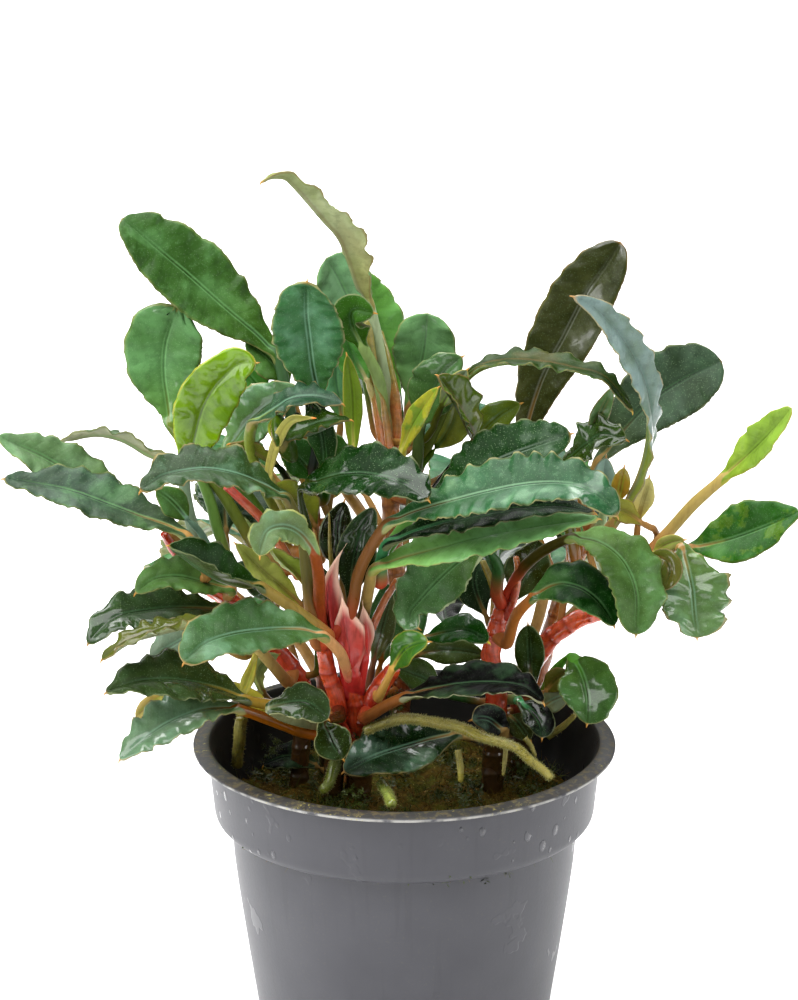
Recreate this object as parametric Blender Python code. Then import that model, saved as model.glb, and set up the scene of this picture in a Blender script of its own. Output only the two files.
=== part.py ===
# A potted bucephalandra, an aquarium plant: creeping red stems that carry
# wavy-edged leaves, held in a small round nursery pot with mossy growing wool.
#
# The model stands on Z = 0 with +Z up and the pot's axis on the Z axis.
# Sizes are in millimetres until a mesh is made, and metres from there on.
# Leaves are placed by where they show from the front: a pick is a place in the
# front view's own frame, and each pick gets a real depth behind the pot's axis.

import math

import bmesh
import bpy
from mathutils import Vector

# Driving dimensions, millimetres
RIM_DIAMETER = 55.0
POT_HEIGHT = 50.0
BASE_DIAMETER = 35.0
LIP_DEPTH = 0.8
STEP_HEIGHT = 39.2
WALL = 1.1
GROUND_HEIGHT = 42.0
LEAF_THICKNESS = 0.75
STALK_RADIUS = 0.8
GAP = 0.3

# Shares of the leaf's thickness: how high the ridge stands above the blade's middle
# surface, how deep the rib hangs below it at the base, and how much shallower at the tip
RIDGE_SHARE = 0.3
RIB_SHARE = 0.9
RIB_THINNING = 0.6
# How much of a folded blade's rise is taken back below its middle line
CENTRED = 0.6
# The narrowest half width on which the margin's waves have their full height
FULL_WAVE_HALF_WIDTH = 3.0

# The pot's outer radius inside the rim's: at the cone's top, above the step, under the lip
CONE_IN = 4.8
NECK_IN = 2.6
LIP_IN = 1.9
# How far the lip's flat top reaches inwards
LIP_WIDTH = 1.9
FLOOR = 1.5
EDGE = 0.6

POT_SIDES = 28
GROUND_SIDES = 20
TUBE_SPACING = 2.8
STALK_SPACING = 6.0
CURVE_SAMPLES = 200
MM = 0.001

# The front view: its frame, and where its eye stands
VIEW_CENTRE = (399.0, 500.0)
VIEW_FOCAL = 4218.0
VIEW_DROP = math.radians(17.77)
EYE = Vector((-0.7, -513.5, 247.1))
RIGHT = Vector((1.0, 0.0, 0.0))
AHEAD = Vector((0.0, math.cos(VIEW_DROP), -math.sin(VIEW_DROP)))
ABOVE = Vector((0.0, math.sin(VIEW_DROP), math.cos(VIEW_DROP)))

# Colours, roughness
POT_GREY = ((0.115, 0.115, 0.125), 0.45)
WOOL_BROWN = ((0.075, 0.055, 0.020), 0.95)
STEM_RED = ((0.42, 0.055, 0.025), 0.35)
ROOT_OLIVE = ((0.42, 0.38, 0.12), 0.8)
SHEATH_PINK = ((0.62, 0.19, 0.15), 0.4)
LEAF_DARK = ((0.018, 0.055, 0.018), 0.25)
LEAF_MID = ((0.045, 0.130, 0.045), 0.3)
LEAF_BLUE = ((0.045, 0.140, 0.085), 0.3)
LEAF_YOUNG = ((0.230, 0.330, 0.035), 0.35)
LEAF_OLIVE = ((0.110, 0.120, 0.025), 0.35)


def clear_scene():
    for old in list(bpy.data.objects):
        bpy.data.objects.remove(old, do_unlink=True)


def seen(pick, back):
    """The point that shows at a pick of the front view, at a depth behind the pot's axis."""
    across = (pick[0] - VIEW_CENTRE[0]) / VIEW_FOCAL
    up = (VIEW_CENTRE[1] - pick[1]) / VIEW_FOCAL
    ray = AHEAD + RIGHT * across + ABOVE * up
    return EYE + ray * ((back - EYE.y) / ray.y)


def material(name, finish):
    colour, roughness = finish
    made = bpy.data.materials.new(name)
    made.use_nodes = True
    shader = made.node_tree.nodes["Principled BSDF"]
    shader.inputs["Base Color"].default_value = (*colour, 1.0)
    shader.inputs["Roughness"].default_value = roughness
    return made


def add_solid(name, points, faces, finish):
    """One closed, smooth-shaded mesh object from points in millimetres."""
    mesh = bpy.data.meshes.new(name)
    mesh.from_pydata([tuple(p * MM) for p in points], [], faces)
    shape = bmesh.new()
    shape.from_mesh(mesh)
    bmesh.ops.triangulate(shape, faces=shape.faces)
    if shape.calc_volume(signed=True) < 0:
        bmesh.ops.reverse_faces(shape, faces=shape.faces)
    shape.to_mesh(mesh)
    shape.free()
    mesh.shade_smooth()
    mesh.materials.append(material(name, finish))
    made = bpy.data.objects.new(name, mesh)
    bpy.context.collection.objects.link(made)
    return made


def curve_point(points, t):
    """A point on the smooth curve that passes through all the points, for t from 0 to 1."""
    spans = len(points) - 1
    i = min(int(t * spans), spans - 1)
    u = t * spans - i
    b = points[i]
    c = points[i + 1]
    a = points[i - 1] if i > 0 else b * 2 - c
    d = points[i + 2] if i + 2 <= spans else c * 2 - b
    linear = c - a
    square = a * 2 - b * 5 + c * 4 - d
    cube = b * 3 - c * 3 + d - a
    return b + (linear * u + square * u * u + cube * u * u * u) * 0.5


def even_curve(points, count):
    """Points evenly spaced by length along the smooth curve."""
    fine = [curve_point(points, k / CURVE_SAMPLES) for k in range(CURVE_SAMPLES + 1)]
    run = [0.0]
    for k in range(CURVE_SAMPLES):
        run.append(run[-1] + (fine[k + 1] - fine[k]).length)
    even = []
    k = 0
    for step in range(count):
        want = run[-1] * step / (count - 1)
        while k < CURVE_SAMPLES - 1 and run[k + 1] < want:
            k += 1
        part = (want - run[k]) / max(run[k + 1] - run[k], 1e-9)
        even.append(fine[k].lerp(fine[k + 1], min(max(part, 0.0), 1.0)))
    return even


def curve_length(points):
    fine = [curve_point(points, k / CURVE_SAMPLES) for k in range(CURVE_SAMPLES + 1)]
    return sum((fine[k + 1] - fine[k]).length for k in range(CURVE_SAMPLES))


def loft(rings, start, end):
    """Faces between rings of equal size, closed by a point or a flat cap at each end.
    The split of each four-cornered face alternates around the ring, so that a thin
    leaf's upper and lower faces fold along the same lines and never cross."""
    size = len(rings[0])
    points = [p for ring in rings for p in ring]
    faces = []
    for i in range(len(rings) - 1):
        for j in range(size):
            k = (j + 1) % size
            a = i * size
            b = a + size
            if j % 2:
                faces.append((a + j, a + k, b + j))
                faces.append((a + k, b + k, b + j))
            else:
                faces.append((a + j, a + k, b + k))
                faces.append((a + j, b + k, b + j))
    last = (len(rings) - 1) * size
    if start is None:
        faces.append(tuple(reversed(range(size))))
    else:
        points.append(start)
        faces += [(len(points) - 1, (j + 1) % size, j) for j in range(size)]
    if end is None:
        faces.append(tuple(range(last, last + size)))
    else:
        points.append(end)
        faces += [(len(points) - 1, last + j, last + (j + 1) % size) for j in range(size)]
    return points, faces


def turned(name, profile, sides, finish, bump=None):
    """A solid turned about the Z axis from a profile that starts and ends on the axis."""
    rings = []
    for radius, height in profile[1:-1]:
        ring = []
        for s in range(sides):
            turn = 2 * math.pi * s / sides
            x = radius * math.cos(turn)
            y = radius * math.sin(turn)
            lift = bump(x, y) if bump and height >= GROUND_HEIGHT else 0.0
            ring.append(Vector((x, y, height + lift)))
        rings.append(ring)
    start = Vector((0.0, 0.0, profile[0][1]))
    end = Vector((0.0, 0.0, profile[-1][1]))
    points, faces = loft(rings, start, end)
    return add_solid(name, points, faces, finish)


def tube(name, line, radius, finish, sides=7, nodes=0.0, taper=0.75):
    """A stem or root: a round tube with a rounded tip, ringed where old leaves were."""
    count = max(4, int(curve_length(line) / TUBE_SPACING) + 1)
    path = even_curve(line, count)
    rings = []
    side = None
    for i, centre in enumerate(path):
        along = (path[min(i + 1, count - 1)] - path[max(i - 1, 0)]).normalized()
        guess = side if side else Vector((0.3, -1.0, 0.2))
        side = (guess - along * guess.dot(along)).normalized()
        other = along.cross(side)
        swell = nodes if i % 2 else 0.0
        size = radius * (1 - (1 - taper) * i / (count - 1)) + swell
        ring = []
        for s in range(sides):
            turn = 2 * math.pi * s / sides
            ring.append(centre + side * size * math.cos(turn) + other * size * math.sin(turn))
        rings.append(ring)
    along = (path[-1] - path[-2]).normalized()
    points, faces = loft(rings, None, path[-1] + along * radius * 0.5)
    return add_solid(name, points, faces, finish)


def blade_width(s, fullest, blunt):
    """How wide the blade is, from 0 to 1, at the share s of its length."""
    if s < fullest:
        return math.sin(math.pi / 2 * s / fullest) ** 1.1
    fall = (s - fullest) / (1 - fullest)
    return math.cos(math.pi / 2 * fall) ** blunt


def leaf(name, stalk, blade, wide, upper, finish, upper_tip=None, waves=6, ruffle=0.4,
         fold=12.0, fold_tip=None, fullest=0.45, blunt=0.7, stalk_radius=STALK_RADIUS):
    """A leaf on its stalk. Its section is a thin lens with four corners: one margin,
    the ridge of the upper face, the other margin and the rib underneath. A station
    stands on each crest and each trough of the margin's waves."""
    root = stalk + blade[:1]
    stalk_steps = max(3, int(curve_length(root) / STALK_SPACING) + 2)
    stalk_line = even_curve(root, stalk_steps)[:-1]
    blade_line = even_curve(blade, 2 * waves + 2)
    line = stalk_line + blade_line[:-1]
    tip = blade_line[-1]
    whole = line + [tip]
    first = len(stalk_line)
    upper = Vector(upper)
    upper_tip = Vector(upper_tip) if upper_tip else upper
    fold_tip = fold if fold_tip is None else fold_tip
    rings = []
    for i, centre in enumerate(line):
        along = (whole[i + 1] - whole[max(i - 1, 0)]).normalized()
        s = max(0.0, (i - first) / (2 * waves + 1))
        look = upper.lerp(upper_tip, s)
        up = (look - along * look.dot(along)).normalized()
        across = up.cross(along)
        half = stalk_radius
        lean = 0.0
        wave = 0.0
        ridge = stalk_radius
        rib = stalk_radius
        if i >= first:
            ridge = LEAF_THICKNESS * RIDGE_SHARE
            rib = LEAF_THICKNESS * (RIB_SHARE - RIB_THINNING * s)
        if i > first:
            half = max(stalk_radius, wide / 2 * blade_width(s, fullest, blunt))
            lean = math.radians(fold + (fold_tip - fold) * s)
            wave = ruffle * min(1.0, half / FULL_WAVE_HALF_WIDTH)
            wave = wave if i % 2 else -wave
        edge = across * half * math.cos(lean)
        rise = half * math.sin(lean)
        keel = centre - up * rise * CENTRED
        rings.append([
            keel + edge + up * (rise + wave),
            keel + up * ridge,
            keel - edge + up * (rise - wave),
            keel - up * rib,
        ])
    points, faces = loft(rings, None, tip)
    return add_solid(name, points, faces, finish)


def picks(points, back):
    """Points from picks of the front view, with the depth spread evenly from first to last."""
    last = max(len(points) - 1, 1)
    return [seen(p, back[0] + (back[1] - back[0]) * i / last) for i, p in enumerate(points)]


def leaf_seen(name, stalk, blade, back, wide, upper, finish, **form):
    """A leaf placed by picks: back holds the depths at its foot, at its blade's base and at its tip."""
    stalk_points = picks(stalk + blade[:1], (back[0], back[1]))[:-1]
    blade_points = picks(blade, (back[1], back[2]))
    return leaf(name, stalk_points, blade_points, wide, upper, finish, **form)


def ground_bump(x, y):
    """The low lumps of the wool's top, in millimetres above its mean height."""
    return 0.5 * math.sin(0.45 * x + 1.0) * math.cos(0.5 * y)


def ground_foot(x, y):
    """Where a stem stands on the wool."""
    return Vector((x, y, GROUND_HEIGHT + ground_bump(x, y) + GAP + 0.5))


def make_pot():
    rim = RIM_DIAMETER / 2
    base = BASE_DIAMETER / 2
    top = POT_HEIGHT
    profile = [
        (0.0, 0.0),
        (base - EDGE, 0.0),
        (base, EDGE),
        (rim - CONE_IN - 0.2, STEP_HEIGHT - 3.6),
        (rim - CONE_IN, STEP_HEIGHT),
        (rim - NECK_IN - 0.7, STEP_HEIGHT + 0.5),
        (rim - NECK_IN - 0.15, STEP_HEIGHT + 1.3),
        (rim - NECK_IN, STEP_HEIGHT + 2.4),
        (rim - LIP_IN, top - LIP_DEPTH - 0.1),
        (rim - 0.2, top - LIP_DEPTH),
        (rim, top - LIP_DEPTH + 0.15),
        (rim, top - 0.45),
        (rim - 0.35, top - 0.25),
        (rim - LIP_WIDTH, top),
        (rim - LIP_WIDTH - 0.4, top - 0.3),
        (rim - LIP_IN - WALL, top - 2.0),
        (rim - NECK_IN - WALL, STEP_HEIGHT + 2.6),
        (rim - CONE_IN - WALL, STEP_HEIGHT + 0.6),
        (base - WALL, FLOOR),
        (0.0, FLOOR),
    ]
    return turned("pot", profile, POT_SIDES, POT_GREY)


def make_ground():
    rim = RIM_DIAMETER / 2
    base = BASE_DIAMETER / 2
    slack = WALL + 2 * GAP
    profile = [
        (0.0, FLOOR + GAP),
        (base - slack - 0.1, FLOOR + GAP),
        (rim - CONE_IN - 0.2 - slack, STEP_HEIGHT + 0.2),
        (rim - NECK_IN - 0.9 - slack, GROUND_HEIGHT - 1.0),
        (rim - NECK_IN - 1.8 - slack, GROUND_HEIGHT),
        (14.0, GROUND_HEIGHT),
        (7.0, GROUND_HEIGHT),
        (0.0, GROUND_HEIGHT),
    ]
    return turned("growing_wool", profile, GROUND_SIDES, WOOL_BROWN, bump=ground_bump)


def make_stems():
    stems = {
        "stem_front": dict(foot=(-6.0, 0.5), seen_at=[(358, 722), (354, 692), (353, 660)],
                           back=(-2.0, -3.0), radius=1.45),
        "stem_front_left_fork": dict(foot=(-9.5, 0.5), seen_at=[(338, 710), (329, 675), (323, 645)],
                                     back=(-3.0, -4.0), radius=1.35),
        "stem_left": dict(foot=(-14.0, 4.0), seen_at=[(303, 695), (290, 665), (238, 607), (192, 574)],
                          back=(6.0, 3.0), radius=1.25),
        "stem_upper_left": dict(foot=(-10.0, 9.0), seen_at=[(322, 640), (314, 560), (312, 500)],
                                back=(9.0, 9.0), radius=1.2),
        "stem_back": dict(foot=(-1.0, 10.0), seen_at=[(402, 660), (396, 580), (390, 500), (387, 442)],
                          back=(11.0, 13.0), radius=1.4),
        "stem_middle": dict(foot=(11.5, 4.0), seen_at=[(496, 700), (491, 655), (503, 605)],
                            back=(5.0, 5.0), radius=1.5),
        "stem_right": dict(foot=(15.0, 9.0),
                           seen_at=[(523, 690), (545, 645), (575, 621), (606, 608), (634, 576)],
                           back=(9.0, 8.0), radius=1.35),
        "stem_back_right": dict(foot=(15.2, 12.6), seen_at=[(548, 640), (570, 575), (590, 530)],
                                back=(16.0, 15.0), radius=1.2),
    }
    for name, form in stems.items():
        line = [ground_foot(*form["foot"])] + picks(form["seen_at"], form["back"])
        tube(name, line, form["radius"], STEM_RED, nodes=0.12, taper=0.85)


def make_roots():
    roots = {
        "root_long_hairy": dict(seen_at=[(366, 731), (385, 723), (402, 719), (422, 720), (442, 724),
                                         (462, 728),
                                         (482, 737), (500, 742), (516, 748), (530, 760), (545, 772),
                                         (552, 780)],
                                back=(-7.0, -14.0), radius=0.8),
        "root_green_left": dict(seen_at=[(352, 746), (338, 757), (333, 770), (329, 783), (321, 793)],
                                back=(-1.5, -5.0), radius=0.9),
        "root_green_front": dict(seen_at=[(381, 783), (388, 795), (393, 806)], back=(-8.0, -13.0),
                                 radius=0.95),
        "root_pale_left": dict(seen_at=[(241, 712), (238, 740), (236, 768)], back=(2.0, 4.0), radius=0.7),
    }
    for name, form in roots.items():
        line = picks(form["seen_at"], form["back"])
        tube(name, line, form["radius"], ROOT_OLIVE, sides=6, taper=0.7)


def make_sheaths():
    """The pointed scales that wrapped each new leaf of the front stem."""
    plain = dict(waves=2, ruffle=0.0, stalk_radius=0.5, fullest=0.3, blunt=1.2)
    leaf_seen("sheath_front", [(353, 676)], [(350, 654), (346, 634), (343, 614), (342, 597)],
              (-3.0, -6.0, -7.5), 3.6, (0.1, 1.0, 0.3), SHEATH_PINK, fold=35.0, **plain)
    leaf_seen("sheath_left", [(351, 674)], [(340, 644), (330, 604), (333, 572), (348, 543)],
              (-2.6, -5.0, -6.0), 2.4, (0.4, 1.0, 0.2), SHEATH_PINK, fold=35.0, **plain)
    leaf_seen("sheath_right", [(355, 676)], [(364, 648), (366, 622), (364, 600)],
              (-2.8, -4.4, -5.0), 2.2, (-0.3, 1.0, 0.2), SHEATH_PINK, fold=35.0, **plain)


def make_leaves_left():
    leaf_seen("leaf_01_tall_far_left", [(300, 470), (288, 400)],
              [(278, 358), (258, 335), (228, 308), (194, 277), (163, 251), (135, 228), (121, 219)],
              (9, 12, 16), 11.0, (0.5, -1.0, 0.7), LEAF_MID, waves=6, fullest=0.55, blunt=0.45)
    leaf_seen("leaf_02_broad_left", [(262, 560), (220, 490), (185, 445)],
              [(171, 425), (167, 400), (163, 372), (165, 342), (176, 310)],
              (8, 9, 12), 10.6, (-0.1, -1.0, 0.15), LEAF_MID, waves=5, fullest=0.65, blunt=0.22)
    leaf_seen("leaf_03_young_yellow", [(204, 556), (190, 518)],
              [(184, 480), (193, 446), (202, 411), (217, 385), (240, 364), (256, 363)],
              (4, 5, 3), 8.0, (0.1, -1.0, 0.1), LEAF_YOUNG, waves=4, ruffle=0.3, fullest=0.55, blunt=0.5)
    leaf_seen("leaf_04_edge_on_left", [(225, 560), (212, 505)],
              [(198, 472), (168, 458), (150, 451), (125, 437), (95, 432), (61, 441)],
              (6, 9, 13), 6.0, (0.0, 0.4, 1.0), LEAF_DARK, waves=5)
    leaf_seen("leaf_05_far_left_upper", [(190, 565), (160, 515)],
              [(136, 500), (105, 488), (75, 473), (42, 455), (18, 445), (-2, 436)],
              (6, 7, 9), 7.6, (0.1, -0.8, 1.0), LEAF_MID, waves=6)
    leaf_seen("leaf_06_long_far_left", [(204, 572), (197, 554)],
              [(188, 538), (172, 527), (140, 514), (100, 498), (70, 488), (39, 483), (4, 479)],
              (-1, 0, 3), 9.5, (0.05, -0.35, 1.0), LEAF_MID, waves=7, fullest=0.5)
    leaf_seen("leaf_07_arching_left", [(316, 640), (308, 590), (304, 540)],
              [(288, 500), (268, 486), (240, 472), (205, 466), (165, 474), (141, 491)],
              (-5, -9, -15), 9.5, (0.0, -0.35, 1.0), LEAF_BLUE, waves=6)
    leaf_seen("leaf_08_folded_left", [(325, 631), (306, 618), (286, 602)],
              [(262, 587), (235, 573), (210, 560), (188, 549), (169, 546)],
              (-7.2, -11, -16), 8.0, (0.5, -0.35, 1.0), LEAF_DARK, waves=5, fold=45.0, ruffle=0.3)
    leaf_seen("leaf_09_small_left", [(243, 612), (240, 600)],
              [(232, 590), (205, 581), (180, 575), (155, 578), (136, 593)],
              (4.6, 2, -3), 7.0, (0.0, -0.5, 1.0), LEAF_MID, waves=4)
    leaf_seen("leaf_10_pale_cupped", [(319, 600), (319, 580)],
              [(314, 552), (303, 536), (285, 526), (266, 532), (260, 556)],
              (-6.5, -11.5, -17), 7.5, (-0.2, -1.0, 0.5), LEAF_BLUE, waves=3, ruffle=0.35, fullest=0.6,
              blunt=0.5)
    leaf_seen("leaf_11_curling_left", [(243, 636), (232, 620)],
              [(225, 610), (180, 606), (150, 608), (120, 614), (102, 626), (88, 644)],
              (1.2, 2.1, -2.7), 8.0, (0.0, -0.45, 1.0), LEAF_DARK, waves=5)
    leaf_seen("leaf_12_olive_edge_left", [(286, 680), (250, 640)],
              [(215, 617), (180, 622), (150, 630), (125, 640), (102, 660)],
              (2, -8, -13), 7.0, (0.0, 0.15, 1.0), LEAF_OLIVE, waves=5)
    leaf_seen("leaf_13_light_round_left", [(297, 681), (250, 658)],
              [(214, 640), (190, 636), (170, 646), (150, 658)],
              (6, -4, -5.5), 7.0, (0.0, -0.8, 1.0), LEAF_BLUE, waves=3)
    leaf_seen("leaf_14_broad_front_left", [(353, 676), (340, 652)],
              [(325, 637), (300, 628), (265, 627), (230, 632), (203, 643), (184, 663)],
              (-5.6, -12, -21), 10.0, (0.0, -0.5, 1.0), LEAF_BLUE, waves=5, ruffle=0.4, fullest=0.5,
              blunt=0.55)
    leaf_seen("leaf_15_dark_low_left", [(322, 716), (276, 706)],
              [(247, 700), (220, 687), (190, 679), (160, 677), (130, 682), (106, 693)],
              (-3, -9.0, -14.0), 9.5, (0.0, -0.4, 1.0), LEAF_DARK, waves=5)
    leaf_seen("leaf_16_lowest_left", [(341, 738), (300, 731), (262, 716)],
              [(240, 709), (210, 707), (190, 711), (165, 722), (140, 740), (120, 760)],
              (-6, -10.5, -15), 8.9, (-0.1, -0.35, 1.0), LEAF_BLUE, waves=6)
    leaf_seen("leaf_18_twisted_left", [(300, 690), (274, 702)],
              [(262, 690), (256, 676), (262, 662), (278, 655)],
              (6, 0, 2), 3.0, (1.0, -0.6, 0.2), LEAF_DARK, waves=3, ruffle=0.2, stalk_radius=0.55)
    leaf_seen("leaf_19_round_front", [(340, 708), (318, 724), (288, 718)],
              [(273, 708), (289, 703), (308, 703), (328, 719)],
              (-3, -13.5, -15), 5.6, (0.1, -0.8, 0.8), LEAF_DARK, waves=3, ruffle=0.35, blunt=0.5)
    leaf_seen("leaf_20_heart_front", [(358, 716), (338, 718)],
              [(325, 722), (329, 733), (335, 746), (343, 759)],
              (-2.5, -11, -13), 5.6, (0.0, -1.0, 0.5), LEAF_DARK, waves=2, ruffle=0.25, blunt=0.6)


def make_leaves_middle():
    leaf_seen("leaf_21_under_root", [(486, 736)],
              [(458, 734), (430, 738), (400, 746), (372, 756), (344, 772)],
              (0, -4, -10), 9.5, (0.0, -0.7, 1.0), LEAF_BLUE, waves=5)
    leaf_seen("leaf_22_long_front", [(368, 716), (384, 706)],
              [(404, 697), (430, 688), (465, 681), (500, 681), (525, 687), (543, 703)],
              (-7, -10, -16), 8.5, (0.0, -0.25, 1.0), LEAF_DARK, waves=6)
    leaf_seen("leaf_23_small_cupped", [(358, 712), (376, 700)],
              [(393, 668), (402, 652), (412, 645), (428, 642)],
              (-2.5, -8, -12), 5.0, (-0.2, -1.0, 0.7), LEAF_YOUNG, waves=2, ruffle=0.2, stalk_radius=0.6)
    leaf_seen("leaf_24_small_dark", [(402, 662), (410, 648)],
              [(426, 638), (447, 631), (468, 630), (488, 642)],
              (11, 1, -4), 5.5, (0.0, -0.7, 1.0), LEAF_DARK, waves=3, stalk_radius=0.6)
    leaf_seen("leaf_25_upright_centre", [(353, 668), (351, 630)],
              [(352, 596), (354, 566), (361, 535), (374, 508)],
              (-3, -3, -2), 5.5, (0.0, -1.0, 0.2), LEAF_DARK, waves=3)
    leaf_seen("leaf_26_wide_glossy", [(325, 638), (316, 580), (304, 520)],
              [(300, 492), (322, 478), (348, 471), (376, 473), (404, 482), (428, 500)],
              (-3, -5, -15), 9.5, (0.0, -0.6, 1.0), LEAF_DARK, waves=5, ruffle=0.4, blunt=0.5)
    leaf_seen("leaf_27_hero_right", [(353, 603), (361, 565)],
              [(385, 526), (415, 511), (450, 499), (490, 488), (530, 481), (570, 482), (598, 494),
               (617, 516)],
              (-6, -10, -20), 10.0, (0.0, -0.5, 1.0), LEAF_BLUE, waves=7, ruffle=0.5, fullest=0.5,
              blunt=0.6)
    leaf_seen("leaf_28_between_right", [(380, 578), (381, 560)],
              [(386, 545), (412, 532), (445, 521), (482, 513), (520, 507), (560, 506), (594, 513)],
              (-3.5, -6.5, -12), 6.5, (0.0, -0.45, 1.0), LEAF_DARK, waves=6)
    leaf_seen("leaf_29_long_right", [(366, 602), (369, 586)],
              [(373, 570), (400, 558), (435, 547), (470, 537), (510, 529), (550, 523), (598, 519)],
              (-2.6, -7, -12), 9.2, (0.0, -0.45, 1.0), LEAF_MID, waves=6)
    leaf_seen("leaf_30_hanging", [(497, 590), (497, 562)],
              [(486, 549), (462, 558), (440, 575), (420, 597), (408, 616), (418, 628)],
              (3, -2, -7), 9.5, (-0.5, -1.0, 0.6), LEAF_MID, waves=5, fold=20.0)
    leaf_seen("leaf_47_folded_grey", [(428, 492), (452, 470)],
              [(476, 444), (474, 425), (466, 405), (452, 388), (438, 376)],
              (8, 6, 2), 7.5, (0.6, -0.5, 0.7), LEAF_OLIVE, waves=4, fold=30.0)
    leaf_seen("leaf_42_dotted_dark", [(380, 560), (412, 515)],
              [(434, 496), (457, 480), (482, 466), (510, 453), (540, 443), (571, 434)],
              (4, 1, -1), 9.5, (0.0, -0.8, 1.0), LEAF_DARK, waves=6, blunt=0.5)
    leaf_seen("leaf_48_narrow_yellow", [(391, 510), (398, 480)],
              [(402, 452), (411, 427), (424, 406), (438, 388)],
              (12.5, 6, 2), 3.4, (-0.5, -0.9, 0.5), LEAF_YOUNG, waves=3, ruffle=0.2, stalk_radius=0.6)


def make_leaves_top():
    leaf_seen("leaf_50_top_slender", [(386, 428), (388, 400), (381, 358), (374, 322)],
              [(369, 304), (361, 280), (354, 255), (344, 231), (327, 213), (308, 193), (294, 180),
               (280, 173), (262, 182)],
              (15, 12, 0), 6.5, (0.9, 0.9, 0.6), LEAF_OLIVE, waves=7, fullest=0.4, blunt=0.9, fold=25.0)
    leaf_seen("leaf_51_behind_top", [(376, 425), (366, 370)],
              [(360, 330), (350, 302), (338, 276), (326, 258)],
              (14, 14, 14), 8.5, (0.3, -1.0, 0.4), LEAF_MID, waves=3, fullest=0.6, blunt=0.4)
    leaf_seen("leaf_52_upright_blue", [(306, 484), (317, 440)],
              [(320, 400), (313, 370), (309, 340), (306, 312), (307, 282)],
              (5, 4, 0), 9.5, (-0.05, -1.0, 0.25), LEAF_BLUE, waves=5, ruffle=0.45, fullest=0.55, blunt=0.4)
    leaf_seen("leaf_53_glossy_below", [(313, 520), (324, 495)],
              [(326, 470), (324, 445), (318, 420), (308, 400)],
              (9, 3, 1), 4.5, (-0.4, -1.0, 0.2), LEAF_DARK, waves=3, ruffle=0.2)
    leaf_seen("leaf_54_small_top_cup", [(388, 455), (380, 385)],
              [(362, 345), (352, 325), (353, 310), (374, 313)],
              (12.8, 9, 5), 6.0, (-0.3, -1.0, 0.4), LEAF_DARK, waves=3, ruffle=0.3)
    leaf_seen("leaf_55_narrow_upright", [(313, 510), (340, 485)],
              [(352, 450), (353, 420), (352, 390), (347, 356)],
              (9, 7, 8), 3.0, (0.2, -1.0, 0.1), LEAF_YOUNG, waves=2, ruffle=0.1, stalk_radius=0.6)
    leaf_seen("leaf_56_bright_behind", [(397, 440), (398, 418)],
              [(396, 395), (388, 360), (379, 327), (364, 296), (352, 268)],
              (17.5, 18, 18), 7.5, (0.3, -1.0, 0.3), LEAF_MID, waves=4, fullest=0.6, blunt=0.5)
    leaf_seen("leaf_57_grey_behind", [(402, 478), (408, 440)],
              [(410, 405), (418, 378), (424, 350), (428, 313)],
              (15.8, 15, 16), 8.6, (0.0, -1.0, 0.4), LEAF_MID, waves=4, fullest=0.6, blunt=0.35)
    leaf_seen("leaf_58_dark_behind", [(409, 520), (416, 470)],
              [(420, 425), (430, 398), (443, 373), (462, 357)],
              (9, 10, 9), 7.5, (-0.3, -1.0, 0.6), LEAF_DARK, waves=4)
    leaf_seen("leaf_59_silvery_left", [(284, 545), (244, 490)],
              [(228, 452), (245, 425), (268, 404), (298, 388)],
              (11, 9.5, 5), 7.5, (-0.5, -1.0, 0.5), LEAF_BLUE, waves=3)
    leaf_seen("leaf_60_arching_tip", [(300, 545), (270, 500), (250, 450)],
              [(252, 424), (272, 410), (290, 398), (315, 396), (342, 404)],
              (12, 1, -3), 5.5, (0.0, -0.4, 1.0), LEAF_BLUE, waves=4)
    leaf_seen("leaf_61_ruffled_centre", [(314, 548), (285, 490), (262, 462)],
              [(250, 446), (275, 438), (300, 428), (326, 420), (350, 420)],
              (9, -3, -5), 5.5, (0.0, -0.3, 1.0), LEAF_DARK, waves=5)
    leaf_seen("leaf_62_pale_horn", [(314, 562), (285, 510)],
              [(270, 480), (272, 458), (280, 436), (292, 420), (312, 418)],
              (9, -5, -8), 2.4, (-0.6, -0.8, 0.3), LEAF_YOUNG, waves=2, ruffle=0.0, stalk_radius=0.8)


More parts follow.
